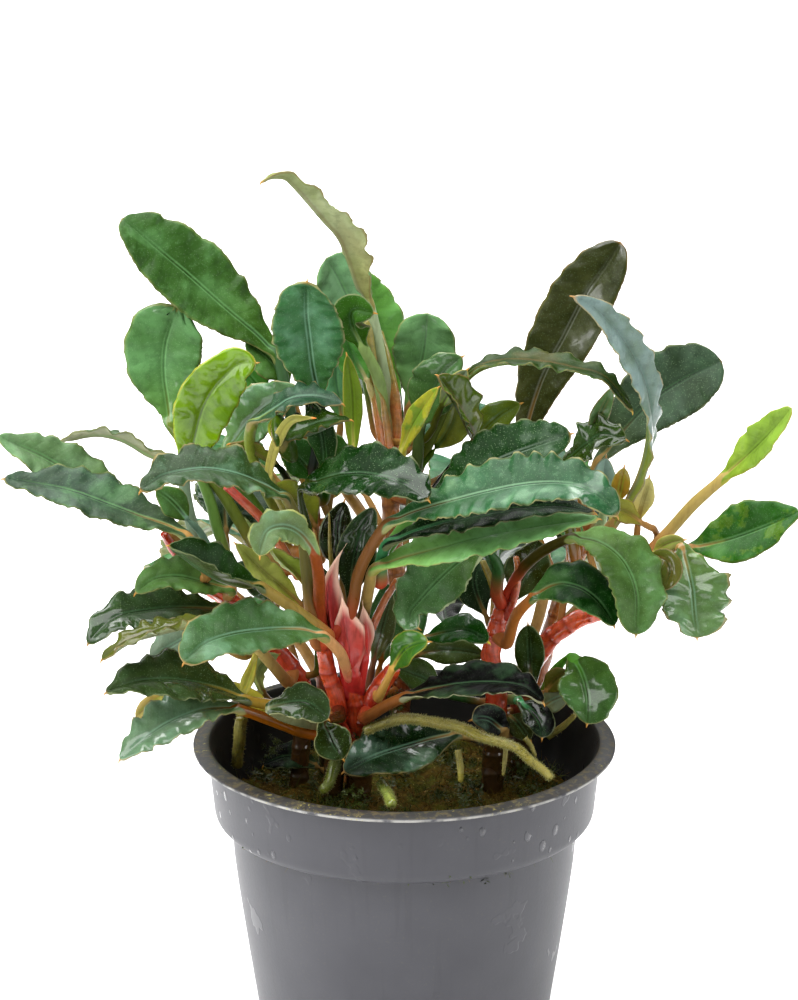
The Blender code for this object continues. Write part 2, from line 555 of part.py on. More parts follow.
def make_leaves_right():
    leaf_seen("leaf_31_arching_right", [(512, 588), (526, 564), (547, 548)],
              [(570, 538), (597, 540), (617, 551), (630, 568), (638, 594), (636, 635)],
              (4.5, -3, -10), 10.0, (0.5, -0.6, 1.0), LEAF_MID, waves=5, ruffle=0.45, blunt=0.5)
    leaf_seen("leaf_32_dark_right", [(508, 640), (516, 615)],
              [(532, 598), (556, 583), (580, 586), (600, 602), (614, 626)],
              (2, -3, -8), 8.0, (0.2, -0.7, 1.0), LEAF_DARK, waves=4)
    leaf_seen("leaf_33_crumpled_right", [(655, 560), (668, 549)],
              [(681, 547), (688, 567), (693, 590), (695, 613), (697, 638)],
              (3.5, 0, -6), 9.8, (0.15, -1.0, 0.5), LEAF_BLUE, waves=4, ruffle=0.8, blunt=0.4)
    leaf_seen("leaf_34_olive_right", [(626, 586), (642, 572)],
              [(652, 562), (662, 558), (670, 570), (664, 590)],
              (8.2, -2.6, -5.0), 4.2, (-0.2, -1.0, 0.5), LEAF_OLIVE, waves=2)
    leaf_seen("leaf_36_far_right_young", [(640, 562), (672, 528), (702, 495)],
              [(723, 478), (748, 453), (771, 430), (792, 408)],
              (7, 3, -2), 6.0, (-0.3, -0.8, 1.0), LEAF_YOUNG, waves=3, ruffle=0.3)
    leaf_seen("leaf_37_far_right", [(644, 566), (668, 556)],
              [(690, 549), (715, 542), (740, 534), (765, 525), (800, 512)],
              (9, 7, 4), 9.5, (0.0, -0.8, 1.0), LEAF_MID, waves=4)
    leaf_seen("leaf_38_slender_upright", [(598, 545), (606, 534)],
              [(616, 520), (634, 493), (646, 466), (652, 438), (652, 410), (645, 378), (630, 349),
               (612, 324), (594, 307), (574, 297)],
              (11, 8, -2), 5.6, (0.9, 0.2, 0.3), LEAF_BLUE, upper_tip=(-0.2, -1.0, 0.8), waves=6,
              fullest=0.6)
    leaf_seen("leaf_39_tall_dark_right", [(562, 600), (530, 520)],
              [(519, 465), (530, 415), (543, 375), (563, 336), (585, 294), (605, 266), (621, 242)],
              (18, 18, 22), 9.5, (-0.5, -1.0, 0.2), LEAF_OLIVE, waves=5, ruffle=0.2, fullest=0.65,
              blunt=0.4)
    leaf_seen("leaf_40_arch_right", [(412, 480), (434, 430)],
              [(452, 392), (475, 368), (505, 359), (540, 360), (575, 367), (605, 377), (632, 411)],
              (13, 11, 5), 6.0, (0.0, -0.1, 1.0), LEAF_OLIVE, waves=7)
    leaf_seen("leaf_41_big_round_right", [(592, 525), (590, 490)],
              [(598, 463), (625, 428), (655, 397), (690, 375), (722, 361)],
              (15, 18, 24), 10.6, (-0.4, -1.0, 0.5), LEAF_DARK, waves=5, ruffle=0.3, fullest=0.64,
              blunt=0.4)
    leaf_seen("leaf_43_crumpled_small", [(576, 560), (566, 500)],
              [(568, 462), (584, 445), (602, 434), (626, 440)],
              (13, 11, 8), 6.5, (0.0, -0.7, 1.0), LEAF_DARK, waves=4, ruffle=0.6)
    leaf_seen("leaf_44_blue_small", [(586, 540), (602, 522)],
              [(604, 505), (604, 490), (604, 474), (606, 458)],
              (15, 12, 11), 3.8, (0.0, -1.0, 0.2), LEAF_BLUE, waves=2, ruffle=0.2, stalk_radius=0.6)
    leaf_seen("leaf_67_upright_low_right", [(521, 700), (528, 692)],
              [(531, 682), (530, 662), (529, 642), (528, 625)],
              (9, 6, 5), 4.4, (0.0, -1.0, 0.1), LEAF_DARK, waves=2, ruffle=0.15, blunt=0.5)
    leaf_seen("leaf_68_green_low_right", [(540, 700), (552, 676), (560, 660)],
              [(569, 656), (580, 668), (587, 686), (589, 705), (587, 724)],
              (7, 2, -4), 8.5, (0.25, -1.0, 0.6), LEAF_MID, waves=4, ruffle=0.4, blunt=0.5)
    leaf_seen("leaf_69_round_low_right", [(520, 704), (518, 700)],
              [(521, 703), (533, 712), (541, 724), (542, 738)],
              (9, 0, -4), 4.6, (0.2, -1.0, 0.6), LEAF_DARK, waves=2, ruffle=0.15, blunt=0.5,
              stalk_radius=0.6)
    leaf_seen("leaf_70_bluish_low", [(518, 716), (514, 732)],
              [(506, 736), (498, 726), (486, 718), (472, 720)],
              (9.3, 1, -1), 4.8, (0.0, -1.0, 0.7), LEAF_BLUE, waves=2, ruffle=0.15, blunt=0.5,
              stalk_radius=0.6)


def make_leaves_behind():
    """Leaves on the far side, in millimetres: the foot of the stalk, then the blade to its tip."""
    behind = {
        "leaf_71_behind": dict(stalk=[(0.5, 14, 66), (3, 22, 74)],
                               blade=[(4, 26, 76), (7, 35, 77), (10, 44, 72), (12, 50, 63)]),
        "leaf_72_behind": dict(stalk=[(-3, 14.5, 72), (-7, 21, 76)],
                               blade=[(-9, 25, 77), (-14, 33, 76), (-19, 41, 70), (-22, 46, 61)]),
        "leaf_73_behind": dict(stalk=[(20, 19, 56), (24, 23, 61)],
                               blade=[(26, 26, 62), (33, 33, 64), (39, 40, 60), (43, 45, 53)]),
        "leaf_74_behind": dict(stalk=[(-14, 12, 62), (-18, 18, 69)],
                               blade=[(-21, 22, 70), (-26, 31, 70), (-30, 39, 64), (-32, 44, 56)]),
        "leaf_76_behind": dict(stalk=[(-0.6, 10.6, 53), (2, 20, 58)],
                               blade=[(3, 26, 59), (4, 34, 60), (5, 42, 56), (6, 48, 49)]),
        "leaf_77_behind": dict(stalk=[(17, 18, 56), (19, 24, 62)],
                               blade=[(20, 28, 63), (24, 36, 64), (27, 44, 60), (29, 49, 52)]),
        "leaf_78_behind": dict(stalk=[(-10, 12, 52), (-14, 17, 57)],
                               blade=[(-17, 20, 58), (-21, 28, 59), (-25, 36, 55), (-27, 42, 49)]),
    }
    for name, form in behind.items():
        stalk = [Vector(p) for p in form["stalk"]]
        blade = [Vector(p) for p in form["blade"]]
        outward = (blade[-1] - blade[0]) * 0.01
        upper = (outward.x, outward.y, 1.0)
        leaf(name, stalk, blade, 9.5, upper, LEAF_DARK, waves=3)


def grow_together(stem, shoots):
    """Joins the small leaves and sheaths that grow on a stem to it, as one solid."""
    body = bpy.data.objects[stem]
    for name in shoots:
        shoot = bpy.data.objects[name]
        join = body.modifiers.new(name, "BOOLEAN")
        join.operation = "UNION"
        join.solver = "EXACT"
        join.material_mode = "TRANSFER"
        join.object = shoot
        shoot.hide_render = True
        shoot.display_type = "WIRE"


def join_shoots():
    grow_together("stem_front", ["stem_front_left_fork", "sheath_front", "sheath_left", "sheath_right",
                                 "leaf_19_round_front", "leaf_20_heart_front", "leaf_23_small_cupped",
                                 "leaf_25_upright_centre", "root_green_left"])
    grow_together("stem_left", ["leaf_09_small_left", "leaf_13_light_round_left", "leaf_18_twisted_left"])
    grow_together("stem_back", ["leaf_24_small_dark", "leaf_48_narrow_yellow", "leaf_54_small_top_cup",
                                "leaf_76_behind"])
    grow_together("stem_upper_left", ["leaf_53_glossy_below", "leaf_55_narrow_upright",
                                      "leaf_61_ruffled_centre", "leaf_62_pale_horn"])
    grow_together("stem_right", ["leaf_34_olive_right", "leaf_67_upright_low_right",
                                 "leaf_69_round_low_right", "leaf_70_bluish_low"])
    grow_together("stem_back_right", ["leaf_44_blue_small"])


def main():
    clear_scene()
    make_pot()
    make_ground()
    make_stems()
    make_roots()
    make_sheaths()
    make_leaves_left()
    make_leaves_middle()
    make_leaves_top()
    make_leaves_right()
    make_leaves_behind()
    join_shoots()


main()
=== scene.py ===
# %% [markdown]
# # A potted bucephalandra
# This notebook dresses a small aquarium plant: glossy, wavy leaves on red creeping stems, hairy roots,
# mossy growing wool and a grey nursery pot with water on it. The solid model is already placed, so every
# cell below reads its sizes from that model and gives one piece its fine surface and its finish.

import math
from types import SimpleNamespace

import bmesh
import bpy
import numpy as np
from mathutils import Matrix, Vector, noise as field


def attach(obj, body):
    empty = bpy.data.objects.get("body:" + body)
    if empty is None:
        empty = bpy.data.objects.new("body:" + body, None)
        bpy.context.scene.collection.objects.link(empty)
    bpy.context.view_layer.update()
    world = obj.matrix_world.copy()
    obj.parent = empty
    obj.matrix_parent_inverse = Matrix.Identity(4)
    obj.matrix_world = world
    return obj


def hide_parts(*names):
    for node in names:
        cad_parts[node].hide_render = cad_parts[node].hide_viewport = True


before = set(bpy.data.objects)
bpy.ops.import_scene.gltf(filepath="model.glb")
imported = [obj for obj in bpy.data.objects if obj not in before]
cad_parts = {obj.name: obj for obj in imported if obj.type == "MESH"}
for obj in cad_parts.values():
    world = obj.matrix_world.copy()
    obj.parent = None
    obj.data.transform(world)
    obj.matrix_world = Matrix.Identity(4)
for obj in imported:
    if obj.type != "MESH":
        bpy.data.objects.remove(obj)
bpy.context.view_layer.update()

# %% [markdown]
# ## Camera and light
# The plant was seen from a little above, from far away, with a long lens. The camera is made first,
# because small things further down are placed by where they show in its picture. A pale floor and
# four large soft lights give the broad highlights that wet leaves have.

# %% Camera
MM = 0.001
EYE = Vector((-0.7, -513.5, 247.1))
VIEW_CENTRE = (399.0, 500.0)
VIEW_FOCAL = 4218.0
VIEW_DROP = math.radians(17.77)
PICTURE_HEIGHT = 1000.0
SENSOR = 36.0

camera = bpy.data.objects.new("camera", bpy.data.cameras.new("camera"))
camera.data.sensor_fit = "VERTICAL"
camera.data.sensor_height = SENSOR
camera.data.lens = SENSOR * VIEW_FOCAL / PICTURE_HEIGHT
camera.data.clip_start = 0.05
camera.location = EYE * MM
camera.rotation_euler = (math.pi / 2 - VIEW_DROP, 0.0, 0.0)
bpy.context.collection.objects.link(camera)
bpy.context.scene.camera = camera

RIGHT = Vector((1.0, 0.0, 0.0))
AHEAD = Vector((0.0, math.cos(VIEW_DROP), -math.sin(VIEW_DROP)))
ABOVE = Vector((0.0, math.sin(VIEW_DROP), math.cos(VIEW_DROP)))


def ray_at(pick):
    """The direction from the eye through a place in the picture."""
    across = (pick[0] - VIEW_CENTRE[0]) / VIEW_FOCAL
    up = (VIEW_CENTRE[1] - pick[1]) / VIEW_FOCAL
    return AHEAD + RIGHT * across + ABOVE * up


def seen(pick, back):
    """The point in millimetres that shows at a place in the picture, at a depth behind the pot's axis."""
    ray = ray_at(pick)
    return EYE + ray * ((back - EYE.y) / ray.y)


def shown_at(point):
    """Where a point in millimetres shows in the picture."""
    away = Vector(point) - EYE
    depth = away.dot(AHEAD)
    return (VIEW_CENTRE[0] + away.dot(RIGHT) / depth * VIEW_FOCAL,
            VIEW_CENTRE[1] - away.dot(ABOVE) / depth * VIEW_FOCAL)


# %% Soft studio light and a pale floor
FLOOR_HALF = 3.0
PLANT_MIDDLE = (0.0, 0.0, 0.07)


def soft_light(name, place, size, power, aim=PLANT_MIDDLE):
    """A rectangular light in metres that faces the place it aims at."""
    lamp = bpy.data.lights.new(name, "AREA")
    lamp.shape = "RECTANGLE"
    lamp.size = size[0]
    lamp.size_y = size[1]
    lamp.energy = power
    made = bpy.data.objects.new(name, lamp)
    made.location = place
    made.rotation_euler = (Vector(aim) - Vector(place)).to_track_quat("-Z", "Y").to_euler()
    bpy.context.collection.objects.link(made)


LIGHTS = {
    "light_above": dict(place=(-0.16, 0.02, 0.66), size=(1.10, 0.80), power=17.0),
    "light_left": dict(place=(-0.80, -0.40, 0.40), size=(0.60, 0.70), power=7.5),
    "light_right": dict(place=(0.80, -0.30, 0.34), size=(0.50, 0.60), power=4.5),
    "light_behind": dict(place=(0.0, 0.60, 0.55), size=(0.80, 0.50), power=3.5, aim=(0.0, 0.50, 0.0)),
}
for name, form in LIGHTS.items():
    soft_light(name, **form)

world = bpy.data.worlds.new("studio")
world.use_nodes = True
background = world.node_tree.nodes["Background"].inputs
background["Color"].default_value = (1.0, 1.0, 1.0, 1.0)
background["Strength"].default_value = 0.13
bpy.context.scene.world = world
bpy.context.scene.view_settings.view_transform = "Standard"


def make_floor():
    corners = [(x * FLOOR_HALF, y * FLOOR_HALF, 0) for x, y in ((-1, -1), (1, -1), (1, 1), (-1, 1))]
    mesh = bpy.data.meshes.new("floor")
    mesh.from_pydata(corners, [], [(0, 1, 2, 3)])
    floor = bpy.data.objects.new("floor", mesh)
    bpy.context.collection.objects.link(floor)
    pale = bpy.data.materials.new("pale_floor")
    pale.use_nodes = True
    shader = pale.node_tree.nodes["Principled BSDF"].inputs
    shader["Base Color"].default_value = (0.90, 0.90, 0.90, 1.0)
    shader["Roughness"].default_value = 0.7
    mesh.materials.append(pale)


make_floor()
print("lights:", ", ".join(LIGHTS))

# %% [markdown]
# ## Wiring materials
# Every finish here is a small net of shader nodes. Writing each node out in full would bury the idea,
# so a helper adds a node, sets its inputs and hands back its output. Colours are written as they are
# read on a screen, from 0 to 255, and turned into the linear values that the shader wants.

# %% A helper for node nets
COLOR = "NodeSocketColor"
FLOAT = "NodeSocketFloat"


def colour(red, green, blue):
    """A screen colour as linear values."""
    linear = [((c / 255 + 0.055) / 1.055) ** 2.4 if c > 10 else c / 255 / 12.92 for c in (red, green, blue)]
    return (*linear, 1.0)


class Net:
    """Adds nodes to a tree and wires them as it goes."""

    def __init__(self, tree):
        self.tree = tree

    def put(self, socket, value):
        """Links a socket to another one, or sets its value."""
        if isinstance(value, bpy.types.NodeSocket):
            self.tree.links.new(value, socket)
        elif value is not None:
            socket.default_value = value

    def fill(self, sockets, values):
        """Puts each value into the socket that its key names."""
        for key, value in values.items():
            self.put(sockets[key], value)

    def node(self, kind, inputs=(), out=0, **settings):
        made = self.tree.nodes.new(kind)
        for key, value in settings.items():
            setattr(made, key, value)
        self.fill(made.inputs, dict(inputs))
        return made.outputs[out]

    def math(self, operation, a, b=0.0, clamp=False):
        return self.node("ShaderNodeMath", {0: a, 1: b}, operation=operation, use_clamp=clamp)

    def times(self, a, b):
        return self.math("MULTIPLY", a, b)

    def plus(self, a, b):
        return self.math("ADD", a, b)

    def minus(self, a, b):
        return self.math("SUBTRACT", a, b)

    def larger(self, a, b):
        return self.math("MAXIMUM", a, b)

    def step(self, value, low, high):
        """A smooth step from 0 at low to 1 at high; low may be the larger one."""
        return self.node("ShaderNodeMapRange", {0: value, 1: low, 2: high, 3: 0.0, 4: 1.0},
                         interpolation_type="SMOOTHSTEP")

    def spread(self, value, low, high):
        """Takes 0 to 1 to low to high, in a straight line."""
        return self.node("ShaderNodeMapRange", {0: value, 1: 0.0, 2: 1.0, 3: low, 4: high})

    def blend(self, share, a, b):
        """From number a where share is 0 to number b where it is 1."""
        return self.node("ShaderNodeMix", {0: share, 2: a, 3: b})

    def mix(self, share, a, b, how="MIX"):
        return self.node("ShaderNodeMix", {0: share, 6: a, 7: b}, out=2, data_type="RGBA", blend_type=how)

    def stain(self, share, base, red, green, blue):
        """Multiplies a colour by another one where share is 1."""
        return self.mix(share, base, (red, green, blue, 1.0), "MULTIPLY")

    def shade(self, share, base, dark):
        return self.stain(share, base, dark, dark, dark)

    def attribute(self, name):
        return self.node("ShaderNodeAttribute", out="Fac", attribute_name=name)

    def place(self):
        return self.node("ShaderNodeTexCoord", out="Object")

    def noise(self, scale, detail=2.0, where=None, rough=0.5):
        """Noise from 0 to 1; scale counts its waves per metre."""
        where = self.place() if where is None else where
        return self.node("ShaderNodeTexNoise", {"Vector": where, "Scale": scale, "Detail": detail,
                                                "Roughness": rough})

    def spots(self, scale, where=None, out="Distance"):
        """Cells around scattered spots: how far the nearest spot is, or out="Color" for its luck."""
        where = self.place() if where is None else where
        return self.node("ShaderNodeTexVoronoi", {"Vector": where, "Scale": scale}, out=out)

    def stretched(self, where, scale):
        return self.node("ShaderNodeMapping", {"Vector": where, "Scale": scale})

    def parts(self, where):
        """The three measures of a place or a direction."""
        made = self.tree.nodes.new("ShaderNodeSeparateXYZ")
        self.put(made.inputs[0], where)
        return made.outputs

    def bump(self, height, depth, strength=1.0):
        return self.node("ShaderNodeBump", {"Height": height, "Distance": depth, "Strength": strength})


def new_group(name, inputs, outputs):
    """A shader node group with named sockets: (name, kind, default) in, (name, kind) out."""
    group = bpy.data.node_groups.new(name, "ShaderNodeTree")
    for label, kind, value in inputs:
        socket = group.interface.new_socket(label, in_out="INPUT", socket_type=kind)
        socket.default_value = value
    for label, kind in outputs:
        group.interface.new_socket(label, in_out="OUTPUT", socket_type=kind)
    given = group.nodes.new("NodeGroupInput").outputs
    wanted = group.nodes.new("NodeGroupOutput").inputs
    return group, Net(group), given, wanted


def use_group(net, group, values):
    made = net.tree.nodes.new("ShaderNodeGroup")
    made.node_tree = group
    net.fill(made.inputs, values)
    return made.outputs


def new_material(name):
    """A material, the net that wires it and the sockets of its surface shader."""
    made = bpy.data.materials.new(name)
    made.use_nodes = True
    return made, Net(made.node_tree), made.node_tree.nodes["Principled BSDF"].inputs


print("wiring helpers:", [word for word in vars(Net) if not word.startswith("_")])

# %% [markdown]
# ## Reading a leaf from the model
# In the model each leaf is a chain of four-cornered rings that ends in a point: one margin, the ridge
# of the upper face, the other margin, and the rib below. Walking from the point back, ring by ring,
# gives the leaf's line, its width and the way it faces, also where its foot has grown into a stem.
# The walk stops where a ring no longer has four corners.

# %% Walk the rings of a leaf
MERGE = 1e-6
SHORTEST = 4
FLATNESS = 0.01


def beside(corner):
    return [edge.other_vert(corner) for edge in corner.link_edges]


def in_order(level):
    """The four corners of a ring, in order around it."""
    ring = [level[0]]
    while len(ring) < 4:
        ahead = [v for v in beside(ring[-1]) if v in level and v not in ring]
        if not ahead:
            return None
        ring.append(ahead[0])
    return ring


def best_match(ring, level):
    """The next ring's corners, turned so that each lies behind its own corner."""
    ordered = in_order(level)
    if ordered is None:
        return None
    choices = []
    for turned in (ordered, ordered[::-1]):
        for shift in range(4):
            choice = turned[shift:] + turned[:shift]
            choices.append((sum((a.co - b.co).length for a, b in zip(ring, choice)), shift, choice))
    return min(choices, key=lambda c: c[:2])[2]


def is_flat(ring):
    """A true ring lies in one plane across the leaf."""
    a, b, c, d = (v.co / MM for v in ring)
    return abs((b - a).cross(c - a).dot(d - a)) < FLATNESS


def walk_leaf(tip):
    """The rings behind a tip, from the foot on, and the tip's place; None where no leaf ends."""
    ring = in_order(beside(tip))
    if ring is None or not is_flat(ring):
        return None
    rings = [ring]
    known = {tip, *ring}
    while True:
        level = list({v: 0 for a in ring for v in beside(a) if v not in known})
        if len(level) != 4:
            break
        ring = best_match(ring, level)
        if ring is None or not is_flat(ring):
            break
        rings.append(ring)
        known.update(ring)
    if len(rings) < SHORTEST:
        return None
    return np.array([[v.co / MM for v in ring] for ring in rings[::-1]]), np.array(tip.co / MM)


def leaves_in(node):
    """Each leaf of a node: its rings from foot to tip, and its tip."""
    shape = bmesh.new()
    shape.from_mesh(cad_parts[node].data)
    bmesh.ops.remove_doubles(shape, verts=shape.verts, dist=MERGE)
    found = [walk_leaf(v) for v in shape.verts if len(v.link_edges) == 4]
    shape.free()
    return [leaf for leaf in found if leaf]


print("leaves on the front stem:", len(leaves_in("stem_front")))

# %% [markdown]
# ## From rings to a smooth spine
# A spine holds, at each station, the leaf's middle, the direction across it, the direction that its
# upper face looks, half its width and how far its margins rise. Smooth curves run through the
# stations. The square of the width is what gets interpolated, because then a blunt tip comes out
# round. Leaves too small for the model get the same kind of spine from a few listed points.

# %% Smooth curves and spines
RIDGE = 0.225
THICKEST_BLADE = 0.95
POINT_SPACING = 1.2


def curve(rows, t):
    """The smooth curve through all rows, read at t, counted in rows."""
    rows = np.asarray(rows, float)
    t = np.clip(t, 0.0, len(rows) - 1 - 1e-9)
    i = t.astype(int)
    u = t - i
    if rows.ndim > 1:
        u = u[:, None]
    padded = np.concatenate([[2 * rows[0] - rows[1]], rows, [2 * rows[-1] - rows[-2]]])
    a, b, c, d = padded[i], padded[i + 1], padded[i + 2], padded[i + 3]
    bends = (2 * a - 5 * b + 4 * c - d) * u ** 2 + (3 * b - 3 * c + d - a) * u ** 3
    return b + 0.5 * ((c - a) * u + bends)


def even_steps(rows, spacing):
    """Where to read a curve so that the points are evenly spaced, and the length run at each."""
    fine = np.linspace(0, len(rows) - 1, 30 * len(rows))
    line = curve(rows, fine)
    run = np.concatenate([[0.0], np.cumsum(np.linalg.norm(np.diff(line, axis=0), axis=1))])
    want = np.linspace(0, run[-1], max(6, int(run[-1] / spacing)))
    return np.interp(want, run, fine), want


def unit(rows):
    return rows / np.maximum(np.linalg.norm(rows, axis=-1, keepdims=True), 1e-12)


def calm(rows, start):
    """Evens out the to and fro of neighbouring stations, from start to the last row but one."""
    rows = rows.copy()
    rows[start + 1:-1] = rows[start + 1:-1] / 2 + (rows[start:-2] + rows[start + 2:]) / 4
    return rows


def spine_from_rings(rings, tip):
    """A spine from a model leaf's rings; the two corners farthest apart are its margins."""
    corner_gaps = [np.linalg.norm(rings[:, k] - rings[:, k + 2], axis=1).max() for k in (0, 1)]
    start = int(np.argmax(corner_gaps))
    margin_a, ridge, margin_b, rib = (rings[:, (k + start) % 4] for k in range(4))
    middle = (margin_a + margin_b) / 2
    if np.linalg.norm(middle - ridge, axis=1).sum() > np.linalg.norm(middle - rib, axis=1).sum():
        ridge, rib = rib, ridge
    up = unit(ridge - rib)
    first = int(np.argmax(np.linalg.norm(ridge - rib, axis=1) < THICKEST_BLADE))
    keel = ridge - up * RIDGE
    keel[:first] = ((ridge + rib) / 2)[:first]
    across = calm(margin_a - margin_b, first)
    half = np.linalg.norm(across, axis=1) / 2
    rise = calm(((middle - keel) * up).sum(axis=1), first)
    rise[:first + 1] = 0.0
    return dict(keel=np.vstack([keel, tip]), across=np.vstack([across, across[-1:]]), first=first,
                up=np.vstack([up, up[-1:]]), half=np.append(half, 0.0), rise=np.append(rise, 0.0))


def blade_width(s, fullest, blunt):
    """The outline of a blade: how wide it is, from 0 to 1, at the share s of its length."""
    rising = np.sin(np.pi / 2 * np.clip(s / fullest, 0, 1)) ** 1.1
    falling = np.cos(np.pi / 2 * np.clip((s - fullest) / (1 - fullest), 0, 1)) ** blunt
    return np.where(s < fullest, rising, falling)


def spine_from_points(foot_line, blade_line, wide, upper, fold=12.0, fullest=0.45, blunt=0.7,
                      stalk_radius=0.45):
    """A spine along points in millimetres: those of the stalk, then those of the blade. wide is the
    blade's width, upper the way its upper face looks and fold the angle at which its halves rise."""
    points = np.array(foot_line + blade_line)
    steps, run = even_steps(points, POINT_SPACING)
    keel = curve(points, steps)
    first = int(np.argmin(np.linalg.norm(keel - np.array(blade_line[0]), axis=1)))
    s = np.clip((run - run[first]) / (run[-1] - run[first]), 0, 1)
    look = np.broadcast_to(np.array(upper), keel.shape)
    along = unit(np.gradient(keel, axis=0))
    up = unit(look - along * (look * along).sum(axis=1, keepdims=True))
    half = wide / 2 * blade_width(s, fullest, blunt)
    half = np.where(s < fullest, np.maximum(half, stalk_radius), half)
    half[-1] = 0.0
    rise = half * math.sin(math.radians(fold)) * (s > 0)
    return dict(keel=keel, across=np.cross(up, along), up=up, half=half, rise=rise, first=first)


def spine_from_picks(at, back, **form):
    """A spine by where its points show, two of the stalk and then those of the blade; back holds the
    depths at the foot, the blade's base and the tip."""
    stalk, blade = at[:2], at[2:]
    foot_line = [seen(p, back[0] + (back[1] - back[0]) * i / len(stalk)) for i, p in enumerate(stalk)]
    blade_line = [seen(p, back[1] + (back[2] - back[1]) * i / (len(blade) - 1)) for i, p in enumerate(blade)]
    return spine_from_points(foot_line, blade_line, **form)


print("the ridge of a model leaf lies", RIDGE, "mm above the middle of its blade")

# %% [markdown]
# ## Where the stems run
# The stems' lines come before the leaves, because a leaf's stalk ends on its stem. Each line starts in
# the wool and then passes through places in the picture. A stalk that stops a little short of a stem
# is led on to the stem's middle.

# %% Stem lines and the stalks that join them
GROUND_HEIGHT = 42.0
REACH = 11.0
TOUCHING = 0.3
STRAIGHT_GAP = 2.5
AVOID_TURNS = 0.3


def ground_foot(x, y):
    """Where a stem comes out of the wool."""
    return Vector((x, y, GROUND_HEIGHT - 1.0))


def seen_line(at, back):
    last = max(len(at) - 1, 1)
    return [seen(p, back[0] + (back[1] - back[0]) * i / last) for i, p in enumerate(at)]


STEMS = {
    "stem_front": dict(
        at=[(358, 722), (354, 692), (353, 660)], back=(-2, -3), foot=(-6, 0.5), radii=(1.75, 1.7, 1.3)),
    "stem_left": dict(
        at=[(303, 695), (290, 665), (238, 607), (192, 574)], back=(6, 3), foot=(-14, 4),
        radii=(1.25, 1.15, 1)),
    "stem_upper_left": dict(
        at=[(322, 640), (314, 560), (312, 500)], back=(9, 9), foot=(-10, 9), radii=(1.2, 1.1, 1),
        finish="tan"),
    "stem_back": dict(
        at=[(402, 660), (396, 580), (390, 500), (387, 442)], back=(11, 13), foot=(-1, 10),
        radii=(1.4, 1.3, 1.1), finish="tan"),
    "stem_middle": dict(
        at=[(496, 700), (491, 655), (503, 605)], back=(5, 5), foot=(11.5, 4), radii=(1.5, 1.45, 1.1)),
    "stem_right": dict(
        at=[(523, 690), (545, 645), (575, 621), (606, 608), (634, 576)], back=(9, 8), foot=(15, 9),
        radii=(1.45, 1.35, 1)),
    "stem_back_right": dict(
        at=[(548, 640), (570, 575), (590, 530)], back=(16, 15), foot=(15.2, 12.6), radii=(1.2, 1.1, 1),
        finish="tan"),
    "stem_front_fork": dict(
        node=False, at=[(338, 710), (329, 675), (323, 645)], back=(-3, -4), foot=(-9.5, 0.5),
        radii=(1.35, 1.3, 1)),
    "stem_front_right": dict(
        node=False, at=[(362, 722), (372, 700), (388, 676), (397, 664)], back=(-2.6, -3.4),
        radii=(1.35, 1.3, 0.9)),
}
STEM_LINES = {node: [ground_foot(*form["foot"])] + seen_line(form["at"], form["back"]) if "foot" in form
              else seen_line(form["at"], form["back"]) for node, form in STEMS.items()}
STEM_POINTS = np.vstack([curve(np.array([tuple(p) for p in line]), np.linspace(0, len(line) - 1, 60))
                         for line in STEM_LINES.values()])


def join_stem(spine):
    """The same spine with its stalk led on to the nearest stem."""
    keel = spine["keel"]
    away = np.linalg.norm(STEM_POINTS - keel[0], axis=1)
    turned = np.abs((STEM_POINTS - keel[0]) @ unit(keel[1] - keel[0]) + away)
    target = STEM_POINTS[int(np.argmin(away + AVOID_TURNS * turned))]
    gap = float(np.linalg.norm(target - keel[0]))
    if gap > REACH or gap < TOUCHING:
        return spine
    straight_on = keel[0] + unit(keel[0] - keel[1]) * gap * 0.35
    between = straight_on * 0.6 + (target + keel[0]) / 2 * 0.4
    more = [target] if gap < STRAIGHT_GAP else [target, between]
    count = len(more)
    joined = {key: np.concatenate([np.repeat(spine[key][:1], count, axis=0), spine[key]])
              for key in ("across", "up", "half", "rise")}
    joined["keel"] = np.vstack([more, keel])
    joined["first"] = spine["first"] + count
    joined["joined"] = True
    return joined


print("stems:", {node: len(line) for node, line in STEM_LINES.items()})

# %% [markdown]
# ## Closed skins
# Leaves, stalks, roots, wool and pot are all lofted: rings of points that follow a line, joined by
# four-cornered faces and closed at both ends. One function builds such a mesh, turns its faces outwards
# and stores the measures that the materials read. Two small helpers shape lines: ease rises softly from
# 0 to 1, and wobble wanders the way grown edges do.

# %% Rings into a closed skin
def ease(x, low, high):
    t = np.clip((x - low) / (high - low), 0.0, 1.0)
    return t * t * (3 - 2 * t)


def wobble(x, rate, random):
    """A smooth line that wanders between about -1 and 1."""
    total = 0.0
    for k, weight in enumerate((0.6, 0.3, 0.2)):
        total = total + weight * np.sin(x * rate * (1 + 0.9 * k) * 2 * np.pi + random.uniform(0, 2 * np.pi))
    return total


def loft_faces(stations, around):
    rows = np.arange(stations - 1)[:, None] * around
    here = np.arange(around)[None, :]
    after = (here + 1) % around
    ahead = rows + around
    return np.stack([rows + here, rows + after, ahead + after, ahead + here], axis=-1).reshape(-1, 4)


